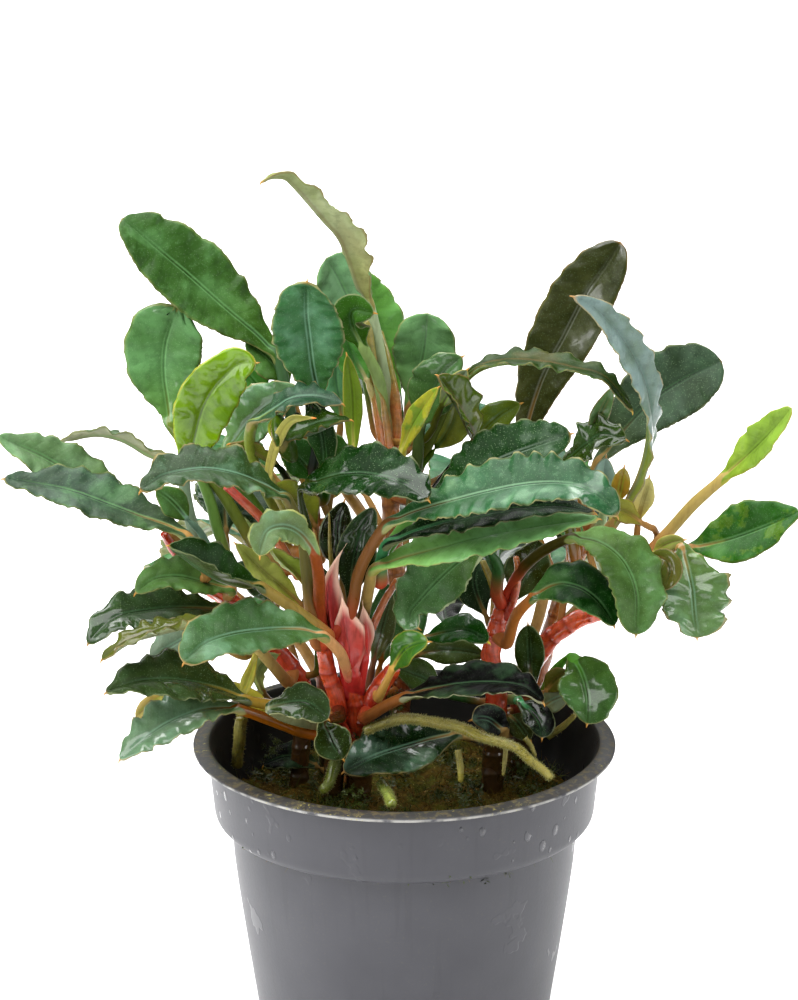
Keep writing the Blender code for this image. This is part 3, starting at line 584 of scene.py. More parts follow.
def closed_skin(name, rings, finish, measures=()):
    """A mesh object from rings in millimetres, closed at both ends, with its faces outwards."""
    stations, around = rings.shape[:2]
    points = np.vstack([rings.reshape(-1, 3), rings[0].mean(axis=0), rings[-1].mean(axis=0)])
    faces = loft_faces(stations, around)
    first, last = len(points) - 2, len(points) - 1
    end = (stations - 1) * around
    fans = [(first, (k + 1) % around, k) for k in range(around)]
    fans += [(last, end + k, end + (k + 1) % around) for k in range(around)]
    polygons = faces.tolist() + fans
    corners = np.vstack([faces[:, [0, 1, 2]], faces[:, [0, 2, 3]], fans])
    a, b, c = ((points - points.mean(axis=0))[corners[:, k]] for k in range(3))
    if np.einsum("ij,ij->i", a, np.cross(b, c)).sum() < 0:
        polygons = [tuple(p)[::-1] for p in polygons]
    mesh = bpy.data.meshes.new(name)
    mesh.from_pydata((points * MM).tolist(), [], polygons)
    for label, values in dict(measures).items():
        values = np.broadcast_to(values, rings.shape[:2])
        flat = np.concatenate([values.ravel(), [values[0].mean(), values[-1].mean()]])
        mesh.attributes.new(label, "FLOAT", "POINT").data.foreach_set("value", flat.astype(np.float32))
    mesh.shade_smooth()
    mesh.materials.append(finish)
    made = bpy.data.objects.new(name, mesh)
    bpy.context.collection.objects.link(made)
    return made


# %% [markdown]
# ## Growing the skin of a leaf
# One function makes every leaf. It runs a closed outline along the spine: a round stalk that flattens
# into a thin blade, with the midrib sunk above and raised below, the two halves a little pillowed, and
# margins that ripple more the nearer they are to the edge. Most bucephalandra leaves end in a small
# orange water pore, so the outline runs on past the tip as a little horn.

# %% The line that a leaf's skin follows
STATION = 0.34
HORN_STATIONS = 5
HORN_LENGTH = 0.5
HORN_DROOP = 0.35
HORN_RADIUS = 0.15
SHEATH_FADE = 2.6
FOOT_ROUND = 0.9


def leaf_line(spine, sink, horn):
    """Even stations from the foot to the tip: s runs from 0 to 1 along the blade and is below 0 on the
    stalk. The foot is led on by sink into what carries the leaf."""
    keel = spine["keel"]
    rows = {key: np.concatenate([spine[key][:1], spine[key]])
            for key in ("keel", "across", "up", "half", "rise")}
    rows["keel"][0] += unit(keel[0] - keel[1]) * sink
    steps, run = even_steps(rows["keel"], STATION)
    centre = curve(rows["keel"], steps)
    half = np.sqrt(np.clip(curve(rows["half"] ** 2, steps), 0.0, None))
    rise = curve(rows["rise"], steps)
    base_run = np.interp(spine["first"] + 1, steps, run)
    blade_run = run[-1] - base_run
    if horn:
        beyond = np.arange(1, HORN_STATIONS + 1) / HORN_STATIONS
        ahead = unit(centre[-1] - centre[-3])
        droop = -unit(rows["up"][-1])
        more = centre[-1] + np.outer(beyond * HORN_LENGTH, ahead) + np.outer(beyond ** 2 * HORN_DROOP, droop)
        centre = np.vstack([centre, more])
        run = np.append(run, run[-1] + beyond * HORN_LENGTH)
        steps = np.append(steps, np.full(HORN_STATIONS, steps[-1]))
        half = np.append(half, np.zeros(HORN_STATIONS))
        rise = np.append(rise, np.zeros(HORN_STATIONS))
    along = unit(np.gradient(centre, axis=0))
    across = curve(unit(rows["across"]), steps)
    across = unit(across - along * (across * along).sum(axis=1, keepdims=True))
    up = np.cross(along, across)
    up = up * np.sign((up * curve(rows["up"], steps)).sum(axis=1).sum())
    return SimpleNamespace(s=(run - base_run) / blade_run, run=run, base_run=base_run, blade_run=blade_run,
                           centre=centre, half=half, rise=rise, along=along, across=across, up=up,
                           stalk=max(rows["half"][0], 0.3))


def half_width(line, sink, sheath, slim, horn):
    """Half the leaf's width at each station, with its rounded foot, its sheath and its horn."""
    to_horn_end = (1.0 + HORN_LENGTH / line.blade_run - line.s) * line.blade_run / HORN_LENGTH
    tip_round = np.where(line.s > 0.9, HORN_RADIUS * np.clip(to_horn_end, 0, 1) ** 0.6, 0.0) * horn
    half = line.half * (1 - (1 - slim) * ease(line.s, 0.0, 0.25))
    half = np.maximum(half, np.maximum(tip_round, 0.02))
    foot = np.exp(-np.maximum(line.run - sink, 0.0) / SHEATH_FADE)
    half = half * np.where(line.s < 0, 1 + sheath * foot, 1.0)
    opening = 0.35 + 0.65 * np.sqrt(np.clip(line.run / FOOT_ROUND, 0, 1))
    return half * np.where(line.run < FOOT_ROUND, opening, 1.0)


# %% The skin around that line
BLADE_THICK = 0.36
SIDE_STEPS = 10
SIDE = np.linspace(0, 1, SIDE_STEPS + 1) ** 1.3
SIDE = SIDE * 0.75 + (1 - (1 - SIDE) ** 1.6) * 0.25
OVER = np.concatenate([-SIDE[::-1], SIDE[1:]])
FULL_WAVE = 2.6
VEIN_GAP = 1.9
VEIN_HEIGHT = 0.014
DENT_GAP = 4.5
GROOVE_DEPTH = 0.11
GROOVE_WIDTH = 0.30


def margin_waves(line, ripple, random):
    """How each margin waves up and down, and in and out, for the left and then the right side."""
    ripples, scallops = [], []
    for _ in range(2):
        turns = line.s * line.blade_run / ripple + 0.28 * wobble(line.s, 1.7, random) + random.random()
        phase = 2 * np.pi * turns
        height = 0.8 + 0.45 * wobble(line.s, 2.3, random)
        ripples.append(np.sin(phase) * height + 0.28 * wobble(line.s, line.blade_run / 1.5, random))
        notches = 1.2 * np.abs(np.sin(phase / 2 + 0.8)) - 0.75
        scallops.append(notches + 0.35 * wobble(line.s, line.blade_run / 1.1, random))
    return ripples, scallops


def stand_off(line, x, a, width, strong, thick, horn):
    """How far the upper and the lower face stand off the middle."""
    s = line.s[:, None]
    round_part = np.sqrt(np.clip(1 - a ** 2, 0, 1)) * width
    blade_part = thick / 2 * np.sqrt(np.clip(1 - a ** 7, 0, 1)) * np.clip(width / 0.8, 0, 1)
    groove = GROOVE_DEPTH * np.exp(-(x / GROOVE_WIDTH) ** 2) * strong
    rib_size = np.clip(line.stalk * (1 - 0.75 * np.clip(s, 0, 1) ** 0.6), 0.12, None)
    rib = rib_size * 1.1 * np.exp(-(x / (0.75 * rib_size)) ** 2) * np.clip(width / rib_size - 1, 0, 1)
    flat = ease(s, 0.0, 0.08) * (1 - ease(s, 0.97, 1.0) * horn)
    above = (blade_part - groove) * flat + round_part * (1 - flat) * np.where(s < 0.5, 0.8, 1.0)
    below = (blade_part + rib * (1 - ease(s, 0.9, 1.0))) * flat + round_part * (1 - flat)
    return above, below


def leaf_measures(line, x, a, width):
    """What the materials read: how far along the leaf, from its rib and from its margin a point lies,
    which face it is on, and the phase of its side veins."""
    def both(values):
        return np.concatenate([values, values[:, -2:0:-1]], axis=1)

    s = line.s[:, None]
    lower = np.concatenate([np.zeros(len(OVER)), np.ones(len(OVER) - 2)])
    lower[[0, len(OVER) - 1]] = 0.5
    from_rib = np.abs(both(x))
    return {"leaf_along": np.where(s < 0, (line.run[:, None] - line.base_run) / line.base_run, s),
            "leaf_under": lower[None, :], "leaf_rib": from_rib, "leaf_edge": width - from_rib,
            "leaf_vein": both(s * line.blade_run / 1.5 + a * 1.3)}


def leaf_skin(name, spine, finish, seed=1, wave=0.42, ripple=3.3, pillow=0.2, sink=1.6, sheath=0.35,
              horn=True, jag=0.0, thick=BLADE_THICK, dent=0.10, slim=1.0):
    """wave is the height of the margin's ripples and ripple their length; pillow swells the two halves;
    sink is how far the stalk's foot runs on into what carries it, and sheath widens that foot; horn adds
    the water pore; jag frays a torn tip; dent is the depth of the crumples; slim narrows the blade."""
    random = np.random.default_rng(seed)
    sink = 0.05 if "joined" in spine else sink
    line = leaf_line(spine, sink, horn)
    half = half_width(line, sink, sheath, slim, horn)
    s = line.s[:, None]
    width = half[:, None]
    u = OVER[None, :]
    a = np.abs(u)
    strong = ease(s, 0.03, 0.2) * (1 - 0.45 * ease(s, 0.85, 1.0)) * np.clip(width / FULL_WAVE, 0, 1)
    ripples, scallops = (np.where(u < 0, left[:, None], right[:, None])
                         for left, right in margin_waves(line, ripple, random))
    x = u * width + np.sign(u) * strong * wave * 0.6 * scallops * a ** 4
    z = line.rise[:, None] * a ** 1.25 * (1 - ease(s, 0.97, 1.0) * horn)
    z = z + strong * (wave * ripples * a ** 2.4 + pillow * np.sin(np.pi * a ** 0.9))
    veins = np.sin(2 * np.pi * (s * line.blade_run / VEIN_GAP + a * 1.6 + np.where(u < 0, 0.4, 0.0)))
    dents = wobble(s + a * 0.15 * np.sign(u), line.blade_run / DENT_GAP, random)
    z = z + strong * np.sin(np.pi * a) * (VEIN_HEIGHT * veins + dent * dents)
    frayed = jag * ease(s, 0.9, 1.0) * wobble(u, 2.2, random) if jag else np.zeros_like(s) * u
    above, below = stand_off(line, x, a, width, strong, thick, horn)
    spots = (line.centre[:, None, :] + line.across[:, None, :] * x[..., None]
             + line.along[:, None, :] * frayed[..., None])
    over = spots + line.up[:, None, :] * (z + above)[..., None]
    under = spots + line.up[:, None, :] * (z - below)[..., None]
    rings = np.concatenate([over, under[:, -2:0:-1]], axis=1)
    return closed_skin(name, rings, finish, leaf_measures(line, x, a, width))


print("points around a leaf:", 2 * len(OVER) - 2)

# %% [markdown]
# ## Leaf tissue
# A leaf's colour comes from layers. One node group holds them all, and each leaf gives it its own
# colours. The group starts from the skin's measures: the blade begins where the place along the leaf
# passes 0, a little later beside the midrib. Tiny cells give the dusting of pale dots.

# %% The sockets of leaf tissue and its first masks
group_inputs = [(label, COLOR, colour(*value)) for label, value in dict(
    Upper=(40, 80, 45), Under=(95, 105, 50), Rib=(110, 140, 100), Margin=(120, 115, 70),
    Stalk=(140, 110, 60), Foot=(170, 50, 35), Tip=(172, 122, 54), Mottle=(60, 90, 30)).items()]
group_inputs += [("Dots", FLOAT, 0.5), ("Mottled", FLOAT, 0.0), ("Wet", FLOAT, 0.35), ("Rough", FLOAT, 0.36),
                 ("Blush", FLOAT, 0.0), ("Fringe", FLOAT, 0.0)]
tissue, net, given, wanted = new_group("Leaf tissue", group_inputs, [
    ("Color", COLOR), ("Roughness", FLOAT), ("Film", FLOAT), ("Height", FLOAT)])
along = net.attribute("leaf_along")
under = net.attribute("leaf_under")
from_rib = net.attribute("leaf_rib")
from_edge = net.attribute("leaf_edge")
wing = net.times(net.minus(from_rib, 0.45), 0.16)
blade = net.step(net.plus(along, wing), 0.0, 0.03)
broad = net.noise(190.0, 3.0)
grain = net.noise(1300.0, 2.0)
DOT_CELLS = 4400.0
near_dot = net.spots(DOT_CELLS)
dot_luck = net.spots(DOT_CELLS, out="Color")
dot = net.times(net.step(near_dot, 0.30, 0.14), net.step(dot_luck, 0.15, 0.55))
dot = net.times(dot, given["Dots"])
print("sockets of leaf tissue:", [label for label, kind, value in group_inputs])

# %% [markdown]
# ## The faces of the blade
# The upper face is the leaf's own green and the lower one more olive. Real leaves are never one tone, so
# broad noise deepens some parts and pales others, partly as the leaf's own uneven tone and partly as painted
# shade and painted sheen. The foot of the blade is fresher, finer noise mottles it, painted shade darkens the
# crease beside the midrib, and faint side veins and the pale dots come on top. Each layer is a mask times a
# strength.

# %% Tones, mottles, side veins and dots
DEEP_TONE = (0.50, 0.56, 0.34)
FRESH_TONE = (1.45, 1.25, 0.60)
face = net.mix(under, given["Upper"], given["Under"])
# Broad noise deepens and pales the face: partly the leaf's own uneven tone, partly painted shade and painted
# sheen.
deep = net.stain(1.0, face, *DEEP_TONE)
face = net.mix(net.times(net.step(broad, 0.58, 0.36), 0.62), face, deep)
face = net.mix(net.times(net.step(broad, 0.52, 0.66), 0.24), face, given["Rib"])
fresh = net.stain(1.0, face, *FRESH_TONE)
face = net.mix(net.times(net.step(along, 0.55, 0.0), 0.6), face, fresh)
mottle = net.noise(750.0, 4.0, rough=0.7)
face = net.shade(net.times(net.step(mottle, 0.50, 0.38), 0.45), face, 0.62)
face = net.mix(net.times(net.step(mottle, 0.54, 0.66), 0.10), face, given["Rib"])
# Painted shade: the blade darkens within about a millimetre of the midrib, in the crease of its fold.
face = net.shade(net.times(net.step(from_rib, 1.1, 0.2), 0.30), face, 0.55)
patch = net.step(net.noise(420.0, 3.0, rough=0.65), 0.52, 0.60)
face = net.mix(net.times(patch, given["Mottled"]), face, given["Mottle"])
vein = net.math("SINE", net.times(net.attribute("leaf_vein"), 2 * math.pi))
vein = net.times(net.step(vein, 0.55, 1.0), net.step(from_edge, 0.3, 1.4))
face = net.shade(net.times(vein, 0.10), face, 0.45)
face = net.mix(net.times(dot, 0.42), face, colour(136, 166, 120))
print("nodes so far:", len(tissue.nodes))

# %% [markdown]
# ## Midrib, margin and stalk
# The stalk's colour runs a little way up the midrib, which then shows as a fine double line that fades
# toward the tip. The margin is a thin tan line of uneven width. Sheaths have two more layers: a blush
# from the foot up and a pale fringe. The stalk turns from tan to red at its foot, in fine streaks, and
# the water pore at the tip is orange.

# %% Midrib, margin and stalk
ribbed = net.times(net.step(from_rib, 0.34, 0.20), net.step(along, 0.40, 0.04))
face = net.mix(net.times(ribbed, 0.75), face, given["Stalk"])
lines = net.times(net.step(from_rib, 0.08, 0.20), net.step(from_rib, 0.42, 0.24))
core = net.times(net.step(from_rib, 0.14, 0.05), 0.35)
fading = net.step(along, 1.05, 0.55)
rib_mask = net.times(net.times(lines, 0.40), fading)
face = net.mix(rib_mask, face, given["Rib"])
face = net.shade(net.times(core, fading), face, 0.4)
edge_noise = net.spread(net.noise(900.0, 1.0), 0.03, 0.20)
edge = net.step(net.minus(from_edge, edge_noise), 0.05, -0.03)
face = net.mix(net.times(edge, 0.5), face, given["Margin"])
fringe = net.times(net.step(from_edge, 0.9, 0.1), given["Fringe"])
streaks = net.noise(1600.0, where=net.stretched(net.place(), (1.0, 1.0, 0.15)))
face = net.mix(net.times(given["Blush"], net.step(along, 0.75, 0.05)), face, given["Stalk"])
face = net.shade(net.times(given["Blush"], net.step(streaks, 0.60, 0.40)), face, 0.62)
face = net.mix(net.times(fringe, net.step(along, -0.05, 0.5)), face, given["Margin"])
stem = net.mix(net.step(along, -0.45, -1.0), given["Stalk"], given["Foot"])
stem = net.shade(net.times(net.step(streaks, 0.55, 0.35), 0.35), stem, 0.55)
whole = net.mix(blade, stem, face)
whole = net.mix(net.step(along, 0.985, 1.02), whole, given["Tip"])
print("nodes so far:", len(tissue.nodes))

# %% [markdown]
# ## Water on the leaves
# Water lies on the leaf in films with sharp edges, which are smoother than the bare leaf. A narrow step
# in broad noise draws such an edge, and the socket Wet says how much of the leaf lies under water. The
# relief is flatter there too, since the water fills it.

# %% Films of water and the relief
FILM_ROUGH = 0.22
film_noise = net.noise(95.0, 3.0)
film = net.step(net.plus(film_noise, net.times(given["Wet"], 0.35)), 0.70, 0.73)
film = net.times(film, net.minus(1.0, net.times(under, 0.6)))
dry = net.plus(given["Rough"], net.spread(grain, -0.06, 0.08))
rough = net.blend(film, dry, FILM_ROUGH)
relief = net.plus(net.times(dot, 0.4), net.times(grain, 0.6))
relief = net.times(relief, net.spread(film, 1.0, 0.25))
relief = net.plus(relief, net.times(net.noise(520.0, 2.0), 0.9))
relief = net.minus(relief, net.times(vein, 0.2))
net.fill(wanted, {"Color": whole, "Roughness": rough, "Film": film, "Height": relief})
print("leaf tissue nodes:", len(tissue.nodes))

# %% [markdown]
# ## Leaf colours
# The plant's leaves fall into a few kinds: old ones nearly black-green, mid green ones, bluish ones,
# young yellow-green ones and olive ones. Each kind is a set of colours, and a leaf may change any of
# them.

# %% Kinds of leaf
DARK, MID, BLUE, YOUNG, OLIVE = "leaf_dark", "leaf_mid", "leaf_blue", "leaf_young", "leaf_olive"
KINDS = {
    DARK: dict(
        Upper=(24, 48, 28), Under=(72, 80, 40), Rib=(64, 96, 64), Margin=(120, 128, 92),
        Stalk=(120, 96, 52), Foot=(152, 92, 48), Dots=0.7, Wet=0.5, Shine=0.05, Rough=0.30),
    MID: dict(
        Upper=(44, 96, 44), Under=(104, 120, 56), Rib=(96, 144, 88), Margin=(120, 120, 76),
        Stalk=(152, 116, 64), Foot=(152, 92, 48), Dots=0.45, Wet=0.3, Shine=0.1, Rough=0.36),
    BLUE: dict(
        Upper=(40, 88, 64), Under=(112, 120, 64), Rib=(112, 152, 124), Margin=(140, 120, 80),
        Stalk=(156, 124, 68), Foot=(152, 92, 48), Dots=0.55, Wet=0.2, Shine=0.16, Rough=0.38),
    YOUNG: dict(
        Upper=(144, 168, 32), Under=(160, 168, 64), Rib=(104, 140, 32), Margin=(152, 140, 60),
        Stalk=(176, 168, 80), Foot=(192, 140, 72), Dots=0.15, Wet=0.25, Shine=0.12, Rough=0.34),
    OLIVE: dict(
        Upper=(88, 92, 40), Under=(96, 96, 44), Rib=(92, 72, 36), Margin=(112, 88, 56),
        Stalk=(152, 112, 60), Foot=(152, 92, 48), Dots=0.3, Wet=0.35, Shine=0.08, Rough=0.34),
    "sheath": dict(
        Upper=(208, 84, 84), Under=(208, 92, 88), Rib=(176, 48, 56), Margin=(240, 204, 180),
        Stalk=(176, 44, 40), Foot=(152, 32, 28), Tip=(224, 180, 128), Dots=0, Wet=0.3, Shine=0.2,
        Rough=0.36, Blush=0.9, Fringe=0.8),
}
SLOT_OF_KIND = {"sheath": "stem_red"}
LEAF_RELIEF = 0.00009
FILM_COAT = 0.62


def leaf_finish(name, kind, **changes):
    """A leaf's own material: the colours of its kind, with the changes that the leaf makes to them."""
    values = dict(KINDS[kind], **changes)
    shine = values.pop("Shine")
    made, net, shader = new_material(name)
    values = {key: colour(*value) if isinstance(value, tuple) else value for key, value in values.items()}
    out = use_group(net, tissue, values)
    net.fill(shader, {
        "Base Color": out["Color"], "Roughness": out["Roughness"], "Specular IOR Level": shine,
        "Coat Weight": net.times(out["Film"], FILM_COAT), "Coat Roughness": 0.10,
        "Normal": net.bump(out["Height"], LEAF_RELIEF, 0.6)})
    return made


def ready(made, slot_name, *nodes):
    """Hands a finished piece to the model: it rides on the one body, and may stand for model nodes."""
    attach(made, "root")
    if nodes:
        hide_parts(*nodes)
    return made


print("kinds of leaf:", list(KINDS))

# %% [markdown]
# ## The leaves
# Every leaf that has a node of its own is listed with its kind and what is special about it. The
# small ones that are joined to a stem in the model are found by where their tips show.

# %% Leaves with nodes of their own
def leaf(kind, wave, **changes):
    """A leaf's kind, the height of its margin's ripples, and what else is special about it."""
    return dict(changes, kind=kind, wave=wave)


LEAVES = {
    "leaf_01_tall_far_left": leaf(
        MID, 0.35, ripple=4.6, horn=False, Upper=(44, 76, 28), Stalk=(52, 80, 48)),
    "leaf_02_broad_left": leaf(
        MID, 0.35, ripple=3, horn=False, jag=0.9, Upper=(72, 112, 64), Stalk=(88, 104, 36), Wet=0.45),
    "leaf_03_young_yellow": leaf(
        YOUNG, 0.25, Upper=(92, 128, 4), Stalk=(104, 124, 100), Mottle=(96, 128, 24), Mottled=0.5,
        Wet=0.45),
    "leaf_04_edge_on_left": leaf(
        MID, 0.55, ripple=4, Upper=(72, 92, 64), Under=(132, 136, 100), Stalk=(80, 112, 48)),
    "leaf_05_far_left_upper": leaf(MID, 0.4, Upper=(84, 112, 76)),
    "leaf_06_long_far_left": leaf(MID, 0.45, ripple=3.8, Upper=(44, 64, 48)),
    "leaf_07_arching_left": leaf(BLUE, 0.7, ripple=4.2, Upper=(32, 56, 24), Stalk=(84, 80, 36)),
    "leaf_08_folded_left": leaf(
        DARK, 0.35, Upper=(20, 48, 4), Under=(48, 60, 28), Stalk=(136, 116, 56), Wet=0.1),
    "leaf_10_pale_cupped": leaf(
        BLUE, 0.8, ripple=2.6, slim=0.66, Upper=(84, 104, 64), Under=(128, 128, 48), Margin=(152, 152, 88),
        Stalk=(120, 56, 16), Wet=0.2),
    "leaf_11_curling_left": leaf(DARK, 0.5, Upper=(44, 64, 36), Wet=0.5),
    "leaf_12_olive_edge_left": leaf(
        OLIVE, 0.6, ripple=2.8, Upper=(64, 72, 12), Under=(152, 164, 128), Stalk=(180, 160, 96)),
    "leaf_14_broad_front_left": leaf(
        BLUE, 0.45, ripple=3.2, sheath=0.9, Upper=(52, 84, 44), Margin=(152, 120, 72), Stalk=(180, 132, 84),
        Foot=(208, 84, 80)),
    "leaf_15_dark_low_left": leaf(DARK, 0.5, Upper=(40, 56, 24), Stalk=(160, 132, 48), Wet=0.65),
    "leaf_16_lowest_left": leaf(BLUE, 0.5, ripple=3, Upper=(84, 112, 84), Stalk=(116, 64, 4), Wet=0.8),
    # Painted shade: this leaf lies under a root, and its upper face is coloured nearly black.
    "leaf_21_under_root": leaf(BLUE, 0.35, Upper=(4, 32, 4), Wet=0.35),
    # Partly this old leaf's own dark colour, partly painted shade: its upper face is coloured black.
    "leaf_22_long_front": leaf(
        DARK, 0.3, Upper=(4, 4, 4), Margin=(152, 152, 120), Stalk=(108, 64, 28), Dots=0.12, Wet=0.05),
    "leaf_26_wide_glossy": leaf(DARK, 0.45, ripple=2.8, Upper=(8, 36, 4), Stalk=(32, 44, 4), Wet=0.72),
    "leaf_27_hero_right": leaf(
        BLUE, 0.5, ripple=2.7, Upper=(28, 72, 40), Rib=(128, 168, 128), Margin=(152, 140, 96),
        Stalk=(96, 60, 24)),
    # Painted shade: this leaf lies in shade between others, and its upper face is coloured nearly black.
    "leaf_28_between_right": leaf(DARK, 0.4, ripple=3.2, Upper=(4, 24, 4), Stalk=(56, 116, 72), Wet=0),
    "leaf_29_long_right": leaf(
        MID, 0.4, ripple=4, Upper=(112, 164, 100), Margin=(144, 128, 80), Stalk=(152, 128, 72)),
    "leaf_30_hanging": leaf(
        MID, 0.8, Upper=(64, 96, 56), Margin=(168, 176, 140), Stalk=(36, 72, 32), Dots=0.8),
    # Painted shade: this leaf's stalk lies in shade and is coloured black.
    "leaf_47_folded_grey": leaf(
        OLIVE, 0.4, Upper=(64, 84, 16), Under=(28, 56, 4), Stalk=(4, 4, 4), Wet=0.6),
    "leaf_42_dotted_dark": leaf(
        DARK, 0.35, ripple=2.4, Upper=(16, 48, 12), Rib=(120, 136, 120), Stalk=(80, 124, 56), Dots=0.9,
        Wet=0.1),
    "leaf_50_top_slender": leaf(
        OLIVE, 0.5, ripple=4.2, Upper=(140, 148, 84), Under=(144, 152, 112), Stalk=(152, 168, 128)),
    "leaf_51_behind_top": leaf(MID, 0.25, horn=False, Upper=(96, 136, 96), Stalk=(84, 112, 48)),
    # Painted shade: this leaf's stalk lies in shade and is coloured nearly black.
    "leaf_52_upright_blue": leaf(
        BLUE, 0.4, ripple=2, Upper=(44, 88, 48), Rib=(112, 156, 128), Margin=(140, 132, 92),
        Stalk=(4, 20, 4)),
    "leaf_56_bright_behind": leaf(MID, 0.3, horn=False, Upper=(96, 152, 68), Stalk=(56, 84, 28)),
    "leaf_57_grey_behind": leaf(MID, 0.35, horn=False, Upper=(88, 128, 80)),
    "leaf_58_dark_behind": leaf(DARK, 0.35, Upper=(64, 96, 52), Stalk=(56, 72, 32)),
    "leaf_59_silvery_left": leaf(BLUE, 0.4, Upper=(76, 112, 68), Stalk=(76, 108, 36), Wet=0.5),
    "leaf_60_arching_tip": leaf(BLUE, 0.5, ripple=2.6, Upper=(32, 60, 40), Stalk=(104, 120, 40)),
    "leaf_31_arching_right": leaf(MID, 0.45, ripple=3.4, Upper=(60, 88, 40), Stalk=(44, 40, 4)),
    "leaf_32_dark_right": leaf(MID, 0.3, Upper=(8, 48, 4), Stalk=(152, 92, 40)),
    "leaf_33_crumpled_right": leaf(BLUE, 1.1, ripple=3, dent=0.55, Upper=(80, 108, 64), Wet=0.7),
    "leaf_36_far_right_young": leaf(
        YOUNG, 0.2, horn=False, Upper=(108, 136, 48), Stalk=(152, 132, 72), Foot=(216, 120, 76)),
    "leaf_37_far_right": leaf(MID, 0.2, horn=False, Upper=(28, 80, 4), Mottle=(100, 128, 24), Mottled=0.3),
    "leaf_38_slender_upright": leaf(
        BLUE, 0.45, ripple=3.6, Upper=(108, 128, 124), Under=(112, 128, 56), Rib=(64, 96, 84),
        Margin=(152, 128, 88)),
    "leaf_39_tall_dark_right": leaf(OLIVE, 0.2, horn=False, Upper=(44, 48, 20), Rib=(96, 100, 88), Wet=0.4),
    "leaf_40_arch_right": leaf(
        OLIVE, 0.45, Upper=(32, 52, 12), Under=(132, 168, 104), Stalk=(64, 76, 16), Tip=(204, 164, 60)),
    "leaf_41_big_round_right": leaf(DARK, 0.35, horn=False, Upper=(48, 64, 48), Wet=0.3),
    "leaf_43_crumpled_small": leaf(
        DARK, 0.8, ripple=2.6, dent=0.3, Upper=(36, 56, 8), Under=(96, 112, 56), Stalk=(48, 72, 4),
        Wet=0.7),
    "leaf_68_green_low_right": leaf(MID, 0.35, Upper=(56, 88, 40), Stalk=(72, 128, 36), Wet=0.6),
}
for far in ("71", "72", "73", "74", "77", "78"):
    LEAVES[f"leaf_{far}_behind"] = leaf((MID, DARK, BLUE)[int(far) % 3], 0.4)

SHAPE_WORDS = ("wave", "ripple", "pillow", "sink", "sheath", "horn", "jag", "thick", "dent", "slim")


def grow(name, spine, look, seed, nodes=()):
    """One leaf: look holds its kind, words for its shape and changes to its colours."""
    look = dict(look)
    kind = look.pop("kind")
    slot_name = SLOT_OF_KIND.get(kind, kind)
    shape = {key: look.pop(key) for key in SHAPE_WORDS if key in look}
    if look.pop("join", True):
        spine = join_stem(spine)
    made = leaf_skin(name, spine, leaf_finish(name, kind, **look), seed=seed, **shape)
    return ready(made, slot_name, *nodes)


FOOT_AT_A_CROWN = (178, 60, 40)
for node in LEAVES:
    if node.split("_")[1] in ("08", "10", "14", "16", "22", "27", "28", "29", "30", "31"):
        LEAVES[node].setdefault("Foot", FOOT_AT_A_CROWN)

leaf_triangles = 0
for number, (node, look) in enumerate(LEAVES.items()):
    rings, tip = leaves_in(node)[0]
    made = grow(node.replace("leaf_", "blade_"), spine_from_rings(rings, tip), look, number + 1, (node,))
    leaf_triangles += 2 * len(made.data.polygons)
print("leaves from nodes:", len(LEAVES), "triangles about", leaf_triangles)

# %% [markdown]
# ## Shoots that are joined to a stem
# These small leaves and sheaths share a solid with the stem that they grow from. The walk still finds
# them there, so each entry only says near which place in the picture its tip shows.

